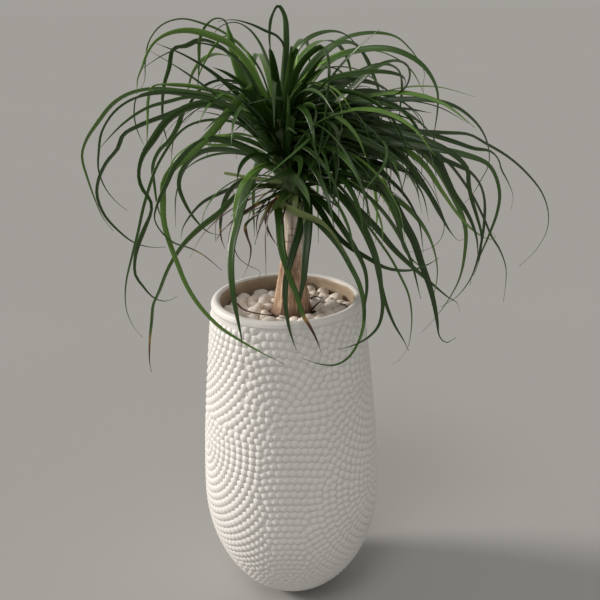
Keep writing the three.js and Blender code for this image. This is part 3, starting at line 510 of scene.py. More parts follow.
# The leaves were read off a view of the plant from this point. Each has its root's height on the stem, its
# width, its reach, which is how far the tip lies behind (+) or before (-) the upright plane through the pot's
# middle, its roll, which is the turn of its face in degrees, and its path, which is where it crosses that
# plane: across, height, across, height. Dry is the share of the length from which it has dried, tip the width
# of an end that was cut short, pale how pale it is, and fade how much of that is gone at its tip.
viewer = np.array([12.7, -744.6, 601.9])


def seen(root, width, reach, roll, path, **more):
    return dict(root=root, width=width, reach=reach, roll=roll, path=np.reshape(path, (-1, 2)), **more)


# its broad pale base crosses the neck; only in the finer head
neckLeaf = seen(439, 10, -62, -15, [-8, 425, 0, 421, 11, 416, 22, 411, 34, 406, 45, 395, 57, 375, 68, 355],
                pale=0.8, fade=1)
seenLeaves = [
    # at the top, and over to the left
    seen(490, 7, -5, 65, [3, 545, 5.5, 575, 4, 594, -1, 601, -7, 592, -9.5, 575, -8, 555]),
    seen(480, 7, 50, 62, [-4, 536, -11, 553, -18, 570, -27, 582, -38, 588, -50, 586, -62, 576]),
    seen(490, 4.5, -20, 55, [3, 550, 3, 568, -3, 576, -12, 580, -25, 586, -40, 590, -55, 589]),
    seen(480, 9, -15, 65, [-22, 512, -34, 535, -41, 557, -45, 579, -48, 590, -56, 592, -65, 586, -71, 575,
        -73, 556, -75, 535]),
    seen(485, 5, 45, 40, [-18, 546, -34, 567, -50, 580, -66, 587, -86, 592, -104, 587, -116, 574, -121, 556,
        -123, 540, -128, 532], dry=0.94),
    seen(480, 9, -25, 65, [-27, 548, -44, 569, -60, 577, -80, 582, -98, 580, -111, 573, -119, 563, -124, 552,
        -129, 542, -131, 528]),
    seen(475, 7, 55, 68, [-32, 543, -52, 567, -70, 574, -84, 569, -95, 567, -100, 551, -106, 535, -109, 515,
        -109, 497, -104, 476]),
    seen(470, 4.5, -45, 50, [-35, 553, -60, 569, -80, 571, -94, 566, -108, 560, -123, 551]),
    seen(475, 6, 30, 55, [-24, 550, -37, 572, -48, 577, -58, 569, -68, 555, -74, 543, -77, 529]),
    # the left side
    seen(462, 6.5, 35, 45, [-25, 507, -45, 520, -68, 527, -92, 531, -116, 533, -138, 529, -154, 520,
        -169, 504, -182, 487, -187, 473, -184, 452, -179, 431, -174, 415, -165, 401]),
    seen(460, 5.5, -45, 45, [-28, 503, -52, 519, -80, 527, -107, 529, -133, 525, -152, 514, -166, 496,
        -171, 477, -173, 460, -168, 442, -158, 428, -150, 421]),
    seen(455, 6.5, -80, 60, [-30, 505, -58, 520, -82, 525, -104, 521, -123, 516, -145, 503, -161, 489,
        -172, 478]),
    seen(452, 6.5, 60, 58, [-28, 497, -54, 514, -80, 517, -106, 509, -132, 500, -147, 492, -153, 480,
        -165, 467, -174, 451, -177, 436, -172, 417, -158, 399, -146, 389, -130, 384, -116, 384]),
    seen(455, 10, -65, 60, [-28, 497, -46, 513, -68, 519, -88, 515, -106, 504, -120, 487, -131, 472,
        -136, 455, -134, 442, -127, 430, -127, 420, -134, 405, -142, 388, -147, 372, -148, 356, -142, 345,
        -132, 332, -120, 328, -109, 333]),
    seen(480, 8.5, -95, 50, [-14, 505, -19, 525, -25, 534, -33, 527, -49, 511, -66, 492, -86, 474, -103, 461,
        -113, 447, -115, 430, -116, 410, -112, 388, -106, 367, -99, 345, -87, 322, -69, 300, -47, 283,
        -27, 270, -5, 257]),
    seen(450, 7.5, 70, 65, [-20, 462, -34, 472, -55, 477, -76, 475, -92, 463, -99, 445, -95, 428, -86, 411,
        -74, 398, -64, 395]),
    seen(455, 4.5, 20, 55, [-20, 474, -38, 480, -60, 481, -82, 482, -94, 476, -103, 467, -109, 453,
        -112, 438]),
    seen(462, 7, 25, 62, [-38, 518, -70, 532, -98, 536, -116, 535, -121, 524, -123, 508, -125, 490,
        -127, 478]),
    seen(458, 7, -15, 62, [-48, 515, -85, 527, -116, 530, -131, 526, -135, 513, -134, 498, -129, 483]),
    seen(470, 7, 40, 60, [-22, 523, -38, 536, -56, 539, -70, 534, -80, 524, -90, 510, -98, 496]),
    seen(458, 7, 50, 62, [-42, 508, -72, 519, -88, 515, -96, 499, -105, 486, -115, 477, -122, 463, -122, 445,
        -120, 420, -114, 402], dry=0.9),
    seen(452, 5, -35, 50, [-40, 500, -85, 500, -115, 468, -132, 430, -142, 398, -150, 374, -157, 352,
        -160, 335, -160, 318, -154, 300, -147, 290], dry=0.93),
    seen(438, 6, 55, 50, [-22, 443, -43, 442, -60, 436, -78, 427, -90, 415, -98, 403, -101, 392]),
    seen(438, 8.5, -60, 60, [-24, 442, -44, 434, -62, 417, -81, 403, -100, 385, -115, 363, -126, 339,
        -133, 325, -136, 308, -140, 285, -142, 262, -141, 251], dry=0.82),
    seen(446, 7, -85, 60, [-35, 478, -70, 486, -97, 468, -112, 443, -122, 424, -125, 412, -120, 400,
        -108, 388, -92, 382, -79, 374, -63, 359], dry=0.86),
    # hanging before the pot, from left to right
    seen(440, 7, 35, 60, [-26, 449, -42, 446, -52, 437, -59, 422, -62, 405, -62, 392, -59, 381], dry=0.8),
    seen(462, 10, -95, -25, [-20, 461, -31, 449, -37, 435, -42, 420, -47, 403, -52, 385, -54, 367, -54, 346,
        -52, 322, -49, 300, -47, 284, -47, 277]),
    seen(436, 4, -40, 20, [-12, 427, -18, 418, -18, 404, -13, 391, -6, 380], dry=0.4),
    seen(438, 6, -45, 30, [-12, 426, -26, 415, -38, 404, -37, 393, -34, 381, -36, 368, -43, 351], dry=0.5),
    seen(440, 3.5, -60, 20, [-28, 438, -44, 415, -51, 392, -47, 373, -38, 364, -26, 357, -27, 350],
        dry=0.35),
    seen(444, 8.5, -92, 0, [-5, 428, -5, 402, -4, 381, 0, 362, 4, 347, 9, 334, 12, 322, 16, 309, 22, 298,
        28, 285, 33, 270], dry=0.76),
    seen(446, 8, -88, -10, [17, 424, 13, 396, 8, 380, 3, 363, -1, 346, -2, 328, -1, 312, 2, 293, 8, 272]),
    seen(448, 9.5, -80, 10, [20, 430, 22, 408, 21, 390, 19, 372, 17, 350, 13, 330, 11, 316, 10, 305]),
    # the right side, low
    seen(450, 7, -60, 40, [16, 446, 26, 430, 35, 415, 47, 395, 61, 381, 79, 369, 98, 358, 120, 355, 137, 360,
        149, 367]),
    seen(442, 5.5, -95, 10, [10, 425, 22, 413, 36, 400, 52, 380, 63, 360, 72, 340, 76, 320, 76, 300, 71, 281,
        61, 263, 48, 255, 32, 256, 14, 263], dry=0.93),
    seen(442, 6.5, -80, 30, [24, 436, 43, 416, 58, 394, 69, 375, 77, 356, 79, 338, 77, 320, 76, 303,
        73, 288]),
    seen(452, 7, -88, 35, [20, 449, 42, 441, 60, 422, 73, 404, 84, 380, 90, 360, 93, 338, 95, 318, 91, 297,
        80, 284, 65, 276, 50, 272]),
    seen(450, 7.5, -45, 50, [25, 452, 46, 438, 63, 418, 77, 393, 87, 367, 92, 344, 99, 318, 107, 298,
        117, 280, 122, 269]),
    seen(454, 4.5, -20, 35, [30, 458, 55, 437, 76, 406, 90, 386, 102, 368, 112, 349, 120, 331, 124, 310,
        124, 290, 121, 272, 114, 260, 105, 253], dry=0.86),
    seen(460, 10.5, -35, 60, [28, 470, 58, 464, 85, 446, 101, 427, 113, 405, 124, 385, 132, 362, 140, 341,
        146, 320, 150, 300, 153, 284, 160, 277, 170, 283]),
    seen(452, 8.5, 20, 55, [25, 448, 50, 433, 70, 417, 88, 398, 105, 377, 124, 358, 144, 340, 160, 326,
        169, 320, 172, 310]),
    seen(462, 6.5, 50, 60, [45, 474, 85, 470, 122, 447, 143, 424, 153, 400, 150, 386, 142, 378, 130, 374,
        118, 374]),
    seen(458, 9, -50, 60, [40, 466, 72, 458, 95, 438, 106, 412, 111, 393, 115, 378, 122, 367, 133, 357]),
    seen(466, 10, -15, 60, [40, 482, 78, 486, 105, 472, 124, 450, 139, 428, 150, 408, 160, 392, 168, 384,
        172, 386]),
    seen(468, 11, -40, 65, [40, 486, 85, 494, 122, 480, 145, 460, 153, 445, 161, 430, 172, 415, 180, 400,
        185, 385, 187, 366]),
    seen(464, 8, 15, 60, [45, 480, 90, 484, 128, 462, 150, 432, 165, 411, 179, 396, 192, 387, 202, 385,
        203, 389, 196, 393], dry=0.93),
    seen(466, 8, 40, 65, [50, 486, 95, 490, 135, 465, 160, 428, 173, 398, 174, 372, 170, 345, 160, 323,
        149, 306, 134, 288], dry=0.9),
    # the right side, high
    seen(472, 6.5, -30, 45, [25, 500, 52, 512, 80, 518, 109, 519, 133, 518, 155, 513, 171, 503, 184, 489,
        191, 473, 192, 457, 186, 444, 178, 429, 171, 421]),
    seen(466, 5.5, 30, 45, [35, 482, 75, 489, 115, 490, 150, 488, 172, 486, 187, 478, 209, 465, 227, 450,
        244, 430, 252, 410, 252, 392, 243, 373, 228, 357]),
    seen(464, 7.5, -60, 55, [35, 478, 75, 482, 115, 478, 149, 472, 170, 467, 190, 459, 198, 449, 204, 430,
        203, 412, 196, 388, 188, 366, 182, 348, 181, 338]),
    seen(468, 7, 55, 60, [45, 490, 85, 498, 125, 490, 160, 479, 177, 473, 193, 470, 201, 462, 204, 453,
        211, 441, 217, 427, 216, 414]),
    seen(462, 6.5, 5, 58, [50, 476, 95, 480, 130, 472, 150, 463, 166, 456, 175, 451, 185, 439, 190, 424,
        191, 400, 189, 378, 185, 357, 180, 343, 168, 326, 153, 316]),
    seen(466, 7, -75, 60, [45, 488, 90, 492, 130, 482, 158, 468, 172, 454, 174, 440, 178, 424, 184, 407,
        189, 390, 189, 368, 184, 348]),
    seen(462, 6, 60, 55, [50, 478, 100, 486, 145, 468, 174, 435, 190, 407, 199, 388, 208, 374, 215, 356,
        216, 340, 215, 320]),
    # at the top, to the right
    seen(490, 9, -20, 65, [5, 531, 13, 561, 26, 574, 44, 579, 56, 577, 65, 570, 70, 562]),
    seen(484, 5.5, 40, 45, [23, 541, 43, 565, 60, 574, 83, 577, 103, 573, 116, 562, 125, 550, 129, 542,
        128, 530, 129, 517]),
    seen(482, 8.5, -30, 50, [26, 535, 48, 556, 73, 563, 97, 563, 118, 555, 132, 543, 141, 526, 142, 509,
        140, 490, 139, 477]),
    seen(474, 9, -45, 68, [38, 506, 66, 532, 84, 547, 102, 553, 113, 549, 116, 540, 112, 529, 103, 523,
        91, 519]),
    seen(476, 8, 15, 65, [40, 520, 74, 545, 95, 550, 106, 544, 109, 530, 108, 515, 107, 498]),
    seen(486, 9, 25, 60, [14, 530, 34, 557, 52, 569, 66, 568, 76, 556, 82, 543, 88, 527, 91, 510, 90, 490]),
    seen(488, 9.5, -75, 10, [13, 543, 27, 561, 39, 566, 43, 552, 42, 525, 38, 495, 33, 470, 27, 446]),
    # cut short, and a pale one
    seen(485, 8, -12, 10, [2, 518, 6, 538, 10, 567], tip=7.5),
    seen(484, 5.5, 5, 30, [5, 515, 11, 538, 15, 564], tip=5),
    seen(444, 5, -45, 60, [-18, 448, -36, 451, -56, 455], tip=3, pale=0.8),
    seen(480, 3.5, -60, 20, [10, 526, 22, 534, 35, 533, 46, 527, 53, 516, 55, 503, 53, 488, 48, 474,
        42, 461], pale=0.7),
]

blades = dict(
    stations=56, tip=0.5, baseShare=0.62, baseLength=0.22, taper=(2.2, 0.9), room=5,
    channel=0.17,  # depth of the gutter as a share of the half width
    thickness=0.6, thin=(0.1, 0.3),  # at most, and where it is narrow this and a share of the half width
    section=[(-1, 0.28), (-0.52, 0.85), (0, 1), (0.52, 0.85), (1, 0.28)],  # across, and share of thickness
    lowerWidth=0.98, twist=14, stiffness=2, turnOver=10, smoothing=9,
    arcSteps=6, bendPower=1.15, curveSteps=16, seed=2024, tones=379508,
    # the higher leaves are lightened in tone, as painted light on the top of the head
    young=(470, 510), paintedLightHigher=0.12, dryOver=0.12,
    # leaves by rule, from the lowest and oldest to the youngest at the top
    drawn=dict(count=48, root=(440, 498), pitch=(24, 78), bend=(112, 146), length=(230, 330),
               width=(5.5, 9.5), swing=52, roll=80, pitchSpread=16, bendSpread=36,
               toRight=0.4, toSides=0.2,  # how much they are turned that way
               young=0.2, front=0.42, aside=0.25, left=0.15,  # how much shorter they are
               older=0.6, squarely=0.95),  # no older one that points to the front hangs before the trunk
    # shorter leaves in the thick of the head, to the right
    thicket=dict(count=18, root=(446, 486), heading=(-70, 70), pitch=(8, 60), bend=(78, 118),
                 length=(140, 215), width=(6.5, 10), swing=70, roll=92),
)

# The leaves that only the finer head has. Final is how steeply their tips point down, and lowest is how low
# they may hang, measured on the upright plane through the pot's middle as the viewer sees it.
finer = dict(
    # strongly curled, in the thick of the head to the right, and none that hangs before the trunk; their
    # darker tones are painted shade in the thick of the head
    heart=dict(count=96, root=(446, 500), heading=(-80, 80), pitch=(0, 66), final=(0, 75), length=(70, 150),
               width=(5, 10), swing=260, roll=140, seed=164, lowest=412, tones=(0, 0.5)),
    # thin ones all over
    slender=dict(count=44, root=(444, 496), heading=(-62, 150), pitch=(5, 75), final=(30, 85),
                 length=(90, 200), width=(2, 4), swing=150, roll=120, seed=318, lowest=400),
    # before the stem, rising and spreading, so that nothing of it shows; their darker tones are painted shade
    # round the stem
    fan=dict(count=34, root=(440, 488), heading=(-178, -8), pitch=(38, 80), final=(-30, 45), length=(60, 165),
             width=(5, 9.5), swing=80, roll=120, seed=47, tones=(0, 0.6)),
    # thin ones, dry from some share of their length, that curl under the head to the left
    curls=dict(count=13, root=(436, 446), heading=(150, 262), pitch=(-20, 25), final=(50, 110),
               length=(60, 125), width=(1.5, 3.2), swing=240, roll=140, seed=63, dry=(0.1, 0.9)),
    # broad pale bases of leaves round the neck
    sheaths=dict(count=15, root=(429, 447), heading=(-190, 160), pitch=(-25, 40), final=(20, 80),
                 length=(26, 62), width=(8, 13), swing=120, roll=60, seed=31, pale=(0, 0.8)),
    # thin ones to the right that turn back on themselves, so that the blades cross
    tangle=dict(count=58, root=(446, 492), heading=(-80, 80), pitch=(10, 65), final=(40, 120),
                length=(110, 220), width=(2.5, 7), swing=340, roll=160, seed=815, lowest=408),
)


def placeSeen(across, height, depth):  # on the line of sight through a point of the middle plane, at a depth
    onPlane = np.stack([across, np.zeros_like(across), height], -1)
    share = ((depth - viewer[1]) / -viewer[1])[..., None]
    return viewer + (onPlane - viewer) * share


def pushOut(points, axis, radius, top):  # away from an axis where they are too near it and not above the top
    out = points[:, :2] - axis
    away = np.maximum(np.linalg.norm(out, axis=-1), 1e-6)
    near = (points[:, 2] < top + blades["room"]) & (away < radius + blades["room"])
    points[near, :2] = (axis + out * ((radius + blades["room"]) / away)[:, None])[near]


def bentClear(points):  # out of the way of the trunk, and of the pot's wall and rim
    points = points.copy()
    axis = np.stack([stemAcross(points[:, 2]), stemDepth(points[:, 2])], -1)
    pushOut(points, axis, trunkRadius(np.minimum(points[:, 2], trunk["top"])), trunk["top"])
    pushOut(points, 0, potRadius(np.minimum(points[:, 2], planter["height"])), planter["height"])
    return points


def onStem(root):
    return np.array([[stemAcross(root), stemDepth(root), root]], float)


def seenSpine(leaf):  # depth grows like a quarter sine along the path, quickly at first
    root, path = onStem(leaf["root"]), leaf["path"]
    withRoot = np.concatenate([root[:, [0, 2]], path])
    run = np.cumsum(np.linalg.norm(np.diff(withRoot, axis=0), axis=-1))
    depth = leaf["reach"] * np.sin(np.pi / 2 * run / run[-1])
    return np.concatenate([root, bentClear(placeSeen(path[:, 0], path[:, 1], depth))])


def arcSpine(leaf):  # it leaves the stem at a pitch, bends over as it goes, and swings a little to one side
    steps = blades["arcSteps"]
    share = (np.arange(steps) + 0.5) / steps
    slope = np.radians(leaf["pitch"] - leaf["bend"] * share**blades["bendPower"])
    yaw = leaf["heading"] + np.radians(leaf["swing"]) * share**2
    step = np.stack([np.cos(slope) * np.cos(yaw), np.cos(slope) * np.sin(yaw), np.sin(slope)], -1)
    root = onStem(leaf["root"])
    return np.concatenate([root, bentClear(root + np.cumsum(step, 0) * leaf["length"] / steps)])


def drawnSize(rule, draw, shorter=1):  # the draws that every rule has
    length, width = (between(rule[key], next(draw)) for key in ("length", "width"))
    swing, roll = (rule[key] * (next(draw) - 0.5) for key in ("swing", "roll"))
    return dict(length=length * shorter, width=width, swing=swing, roll=roll)


def drawnLeaves(draw):  # round the stem by the golden angle, a little turned to the sides
    rule = blades["drawn"]
    leaves = []
    for index in range(rule["count"]):
        youth = index / rule["count"]
        turn = index * goldenAngle
        heading = turn - rule["toRight"] * np.sin(turn) + rule["toSides"] * np.sin(2 * turn)
        shorter = (1 - rule["young"] * youth) * (1 - rule["front"] * max(0, -np.sin(heading))
                   - rule["aside"] * np.cos(heading)**2 - rule["left"] * max(0, -np.cos(heading)))
        leaf = dict(root=between(rule["root"], youth), heading=heading,
                    pitch=between(rule["pitch"], youth) + rule["pitchSpread"] * (next(draw) - 0.5),
                    bend=between(rule["bend"], youth) + rule["bendSpread"] * (next(draw) - 0.5),
                    **drawnSize(rule, draw, shorter))
        if youth >= rule["older"] or -np.sin(heading) <= rule["squarely"]:
            leaves.append(leaf)
    return leaves


def evenHeading(rule, index):  # headings in even steps over the rule's range
    return np.radians(between(rule["heading"], (index + 0.5) / rule["count"]))


def thicketLeaves(draw):
    rule = blades["thicket"]
    return [dict(root=between(rule["root"], next(draw)), heading=evenHeading(rule, index),
                 pitch=between(rule["pitch"], next(draw)), bend=between(rule["bend"], next(draw)),
                 **drawnSize(rule, draw)) for index in range(rule["count"])]


def finerLeaves(rule):  # those of a rule that stay high enough
    draw = drawsFrom(rule["seed"])
    leaves = []
    for index in range(rule["count"]):
        pitch = between(rule["pitch"], next(draw))
        leaf = dict(root=between(rule["root"], next(draw)), heading=evenHeading(rule, index), pitch=pitch,
                    bend=pitch + between(rule["final"], next(draw)), **drawnSize(rule, draw),
                    dry=between(rule.get("dry", (9, 9)), next(draw)),
                    pale=between(rule.get("pale", (0, 0)), next(draw)))
        spine = arcSpine(leaf)
        share = -viewer[1] / (spine[:, 1] - viewer[1])
        if (viewer[2] + (spine[:, 2] - viewer[2]) * share).min() >= rule.get("lowest", 0):
            leaves.append(leaf)
    return leaves


def smoothPath(points, count):
    # a centripetal Catmull-Rom curve through the points, cut into stations at even distances
    ends = np.concatenate([2 * points[:1] - points[1:2], points, 2 * points[-1:] - points[-2:-1]])
    knots = np.concatenate([[0], np.cumsum(np.sqrt(np.linalg.norm(np.diff(ends, axis=0), axis=-1)) + 1e-6)])
    share = np.linspace(0, 1, blades["curveSteps"], endpoint=False)
    t = (knots[1:-2, None] + share * (knots[2:-1] - knots[1:-2])[:, None])[..., None]
    knot = [knots[i:len(knots) - 3 + i][:, None, None] for i in range(4)]
    row = [ends[i:len(ends) - 3 + i][:, None] for i in range(4)]
    for spans in ([(0, 1), (1, 2), (2, 3)], [(0, 2), (1, 3)], [(1, 2)]):  # blended in pairs until one is left
        row = [((knot[high] - t) * first + (t - knot[low]) * second) / (knot[high] - knot[low])
               for (low, high), first, second in zip(spans, row, row[1:])]
    curve = np.concatenate([row[0].reshape(-1, 3), points[-1:]])
    run = np.concatenate([[0], np.cumsum(np.linalg.norm(np.diff(curve, axis=0), axis=-1))])
    even = np.linspace(0, run[-1], count)
    return np.stack([np.interp(even, run, curve[:, axis]) for axis in range(3)], -1), run[-1]


def bladeTurns(path, length):
    # The directions along and sideways, and how sharply a path turns. The sideways line is laid flat against
    # each new direction, so a blade's face keeps its turn from station to station.
    count = path.shape[1]
    along = unit(np.gradient(path, axis=1))
    headings = path[:, -1] - path[:, 0]
    side = unit(np.stack([-headings[:, 1], headings[:, 0], np.zeros(len(path))], -1))
    sides = []
    for station in range(count):
        side = unit(side - along[:, station] * (side * along[:, station]).sum(-1, keepdims=True))
        sides.append(side)
    window = np.maximum(1, np.round(blades["turnOver"] / (length / (count - 1)))).astype(int)[:, None]
    places = [np.clip(np.arange(count)[None] + shift, 0, count - 1)[..., None] for shift in (-window, window)]
    before, after = (np.take_along_axis(along, place, 1) for place in places)
    steps = blades["smoothing"]
    kernel = np.hanning(steps) / np.hanning(steps).sum()
    turning = np.stack([np.convolve(np.pad(row, steps // 2, "edge"), kernel, "valid")
                        for row in np.arccos(np.clip((before * after).sum(-1), -1, 1))])
    return along, np.stack(sides, 1), turning


def bladeShapes(leaves, spines, toneDraw, tones):
    # A blade is its section, a shallow gutter and the same line a thickness lower, carried along its path.
    # It is rolled by its own angle, and less so where the path turns sharply, because a blade bends over its
    # face and not in its own plane. Its width falls from near the base to the tip by two powers.
    def column(key, usual=0):
        return np.array([leaf.get(key, usual) for leaf in leaves])[:, None]

    b = blades
    made = [smoothPath(spine, b["stations"]) for spine in spines]
    path = np.stack([line for line, _ in made])
    along, sides, turning = bladeTurns(path, np.array([length for _, length in made]))
    share = np.linspace(0, 1, b["stations"])[None]
    drawn = np.array([next(toneDraw) for _ in leaves])[:, None]
    wobble = np.radians(b["twist"]) * np.sin(2 * np.pi * (share * (1 + drawn) + drawn * 7)) * share
    angle = (np.radians(column("roll")) / (1 + b["stiffness"] * turning**2) + wobble)[..., None]
    up = np.cross(along, sides)
    across = sides * np.cos(angle) + up * np.sin(angle)
    normal = np.cross(along, across)
    base = between((b["baseShare"], 1), smoothStep(share / b["baseLength"]))
    taper = np.maximum(1 - share**b["taper"][0], 0)**b["taper"][1]
    half = np.maximum(column("tip", b["tip"]), column("width") * base * taper) / 2
    place, under = np.array(b["section"], float).T
    dip = place**2 - 1
    sectionAcross = np.concatenate([place, place[::-1] * b["lowerWidth"]])
    dip, under = np.concatenate([dip, dip[::-1]]), np.concatenate([0 * under, under[::-1]])
    thick = np.minimum(b["thickness"], b["thin"][0] + b["thin"][1] * half)
    aside = half[..., None] * sectionAcross
    above = half[..., None] * b["channel"] * dip - thick[..., None] * under
    points = path[:, :, None] + across[:, :, None] * aside[..., None] + normal[:, :, None] * above[..., None]
    # leaves rooted higher are made lighter, as painted light
    young = np.clip((column("root") - b["young"][0]) / (b["young"][1] - b["young"][0]), 0, 1)
    marks = {
        "tone": np.clip(between(tones, drawn) + b["paintedLightHigher"] * young, 0, 1)[..., None],
        "along": share[..., None],
        "across": sectionAcross[None, None],
        "dry": smoothStep((share - column("dry", 9)) / b["dryOver"])[..., None],
        "pale": (column("pale") * (1 - column("fade") * share))[..., None],
    }
    grid = np.ones(points.shape[:3])
    return points, {key: (values * grid).ravel() for key, values in marks.items()}


def buildBlades(name, leaves, spines, material, toneDraw, tones, node=None):
    points, marks = bladeShapes(leaves, spines, toneDraw, tones)
    many, count, ring = points.shape[:3]
    faces = [forEach(rows, many, count * ring) for rows in tubeFaces(count, ring)]
    makePiece(name, points.reshape(-1, 3), faces, material, node, marks)


# Dried leaf threads that lie on the pebbles

scraps = dict(
    sides=7, stations=26, broad=1.5, high=0.7, thinning=0.7,
    # the radius at the thick end in millimetres, and points [x, y, height]
    threads=[
        (0.9, [(-49, -8, 327), (-43, -25, 328), (-35, -35, 328.5), (-23, -42, 328.5), (-11, -46, 328),
               (0, -48, 326)]),
        (0.8, [(20, 56, 324), (26, 49, 326), (32, 36, 325)]),
        (0.9, [(20, -22, 319), (27, -12, 324), (34, -3, 327)]),
        (1.0, [(22, 14, 323), (29, 13, 325), (36, 8, 324)]),
        (0.8, [(52, 2, 321), (57, -4, 322), (60, -11, 321)]),
        (0.5, [(-20, -50, 320), (-26, -46, 321), (-27, -40, 323)]),
    ],
)


def buildScraps(material):
    # a thread is a flattened tube along a smooth path, thinner towards its far end
    s = scraps
    count, sides = s["stations"], s["sides"]
    turn = anglesRound(sides)[:, None]
    threads = []
    for radius, points in s["threads"]:
        path, _ = smoothPath(np.array(points, float), count)
        along = unit(np.gradient(path, axis=0))
        side = unit(np.cross(along, [0, 0, 1]))
        up = np.cross(side, along)
        thick = radius * (1 - s["thinning"] * np.linspace(0, 1, count)**2)[:, None, None]
        ring = side[:, None] * np.cos(turn) * s["broad"] + up[:, None] * np.sin(turn) * s["high"]
        threads.append((path[:, None] + ring * thick).reshape(-1, 3))
    faces = [forEach(rows, len(threads), count * sides) for rows in tubeFaces(count, sides)]
    makePiece("driedScraps", np.concatenate(threads), faces, material)


# The stem in the head

crown = dict(
    rows=70, sides=48, steps=0.07, bottom=420, top=517,
    profile=[(421, 6), (428, 8.2), (438, 11.5), (458, 12.5), (490, 10), (508, 6), (515, 2)],  # height, radius
    # the stem is kept dark in tone, as painted shade deep in the head
    tone=0.1, along=0.08,
)


def buildCrown(material):
    # swollen by the sheaths of the leaves: a turned profile with steps round it
    c = crown
    heights, radii = np.array(c["profile"]).T
    height = np.linspace(heights[0], heights[-1], c["rows"])
    rings = np.stack([np.interp(height, heights, radii), height], -1)
    points, faces = turnProfile(np.concatenate([[[0, c["bottom"]]], rings, [[0, c["top"]]]]), c["sides"])
    x, y, z = points.T
    turn = np.arctan2(y, x)
    step = np.sin(5 * turn + z / 3.2) * np.sin(3 * turn - z / 5.1)
    out = 1 + c["steps"] * step * (np.hypot(x, y) > 1)
    marks = {key: np.full(len(points), c.get(key, 0.0)) for key in ("tone", "along", "dry", "pale")}
    makePiece("crownStem", np.stack([x * out + stemAcross(z), y * out + stemDepth(z), z], -1), faces,
              material, None, {**marks, "across": turn / np.pi})


# Finishes

def addNode(tree, kind, inputs=None, **settings):  # one node with its settings, its values and its links
    node = tree.nodes.new(kind)
    for key, value in settings.items():
        setattr(node, key, value)
    for key, value in (inputs or {}).items():
        if isinstance(value, bpy.types.NodeSocket):
            tree.links.new(value, node.inputs[key])
        else:
            node.inputs[key].default_value = value
    return node


def newMaterial(name, **shaderValues):  # a material, and its tree of nodes with the shader's values
    material = bpy.data.materials.new(name)
    material.use_nodes = True
    tree = material.node_tree
    for key, value in shaderValues.items():
        tree.nodes["Principled BSDF"].inputs[key.replace("_", " ")].default_value = value
    return material, tree


def placeOf(tree):
    return addNode(tree, "ShaderNodeTexCoord").outputs["Object"]


def markOf(tree, name):
    return addNode(tree, "ShaderNodeAttribute", attribute_name=name).outputs["Fac"]


def noiseOf(tree, place, scale, detail, roughness=0.5):
    inputs = {"Vector": place, "Scale": scale, "Detail": detail, "Roughness": roughness}
    return addNode(tree, "ShaderNodeTexNoise", inputs).outputs["Fac"]


def stretched(tree, place, scale):
    return addNode(tree, "ShaderNodeMapping", {"Vector": place, "Scale": scale}).outputs["Vector"]


def mixed(tree, share, first, second):  # two colours, each a socket or a hex colour
    first, second = (toLinear(colour) if isinstance(colour, str) else colour for colour in (first, second))
    return addNode(tree, "ShaderNodeMix", {"Factor": share, 6: first, 7: second}, data_type="RGBA").outputs[2]


def shareOf(tree, value, low, high, most):  # from nothing at the low value to the most at the high one
    inputs = {"Value": value, "From Min": low, "From Max": high, "To Max": most}
    return addNode(tree, "ShaderNodeMapRange", inputs).outputs["Result"]


def rampOf(tree, value, stops):  # a row of colours along a value
    node = addNode(tree, "ShaderNodeValToRGB", {"Fac": value})
    ramp = node.color_ramp
    while len(ramp.elements) < len(stops):
        ramp.elements.new(0.5)
    for element, (place, hexColour) in zip(ramp.elements, stops):
        element.position = place
        element.color = toLinear(hexColour)
    return node.outputs["Color"]


def useColour(tree, colour):
    tree.links.new(colour, tree.nodes["Principled BSDF"].inputs["Base Color"])


def useBump(tree, height, strength, distance):
    bump = addNode(tree, "ShaderNodeBump", {"Height": height, "Strength": strength, "Distance": distance})
    tree.links.new(bump.outputs["Normal"], tree.nodes["Principled BSDF"].inputs["Normal"])


def satinCeramic():
    # earthenware under a thin satin white glaze: even, soft highlights, a little darker and creamier inside,
    # partly dust where the glaze is thin and partly painted shade for the dim inside of the pot
    material, tree = newMaterial("satinGlazedEarthenware", Roughness=0.42, IOR=1.5)
    place = placeOf(tree)
    white = mixed(tree, noiseOf(tree, place, 22.0, 4.0), "#f1f0ee", "#e6e4e2")
    # tan inside the pot: partly dust, partly painted shade
    dustAndShade = mixed(tree, noiseOf(tree, place, 90.0, 6.0, 0.7), "#c9b9a5", "#8d7b67")
    useColour(tree, mixed(tree, markOf(tree, "inside"), white, dustAndShade))
    useBump(tree, noiseOf(tree, place, 700.0, 3.0), 0.12, 0.0004)  # 1.4 mm grain
    return material


def tumbledStone():
    # tumbled white marble: pinkish and beige whites, each stone with its own tone, faintly mottled
    material, tree = newMaterial("tumbledMarble", Roughness=0.5, IOR=1.49)
    shade = rampOf(tree, markOf(tree, "tone"), [(0, "#fdf9f6"), (0.35, "#f7efe9"), (0.6, "#fcf8f4"),
                                                (0.85, "#eee1d7"), (1, "#f5ebda")])
    mottle = noiseOf(tree, placeOf(tree), 260.0, 5.0, 0.6)
    useColour(tree, mixed(tree, mottle, shade, "#ebdfd6"))
    useBump(tree, mottle, 0.2, 0.0006)
    return material


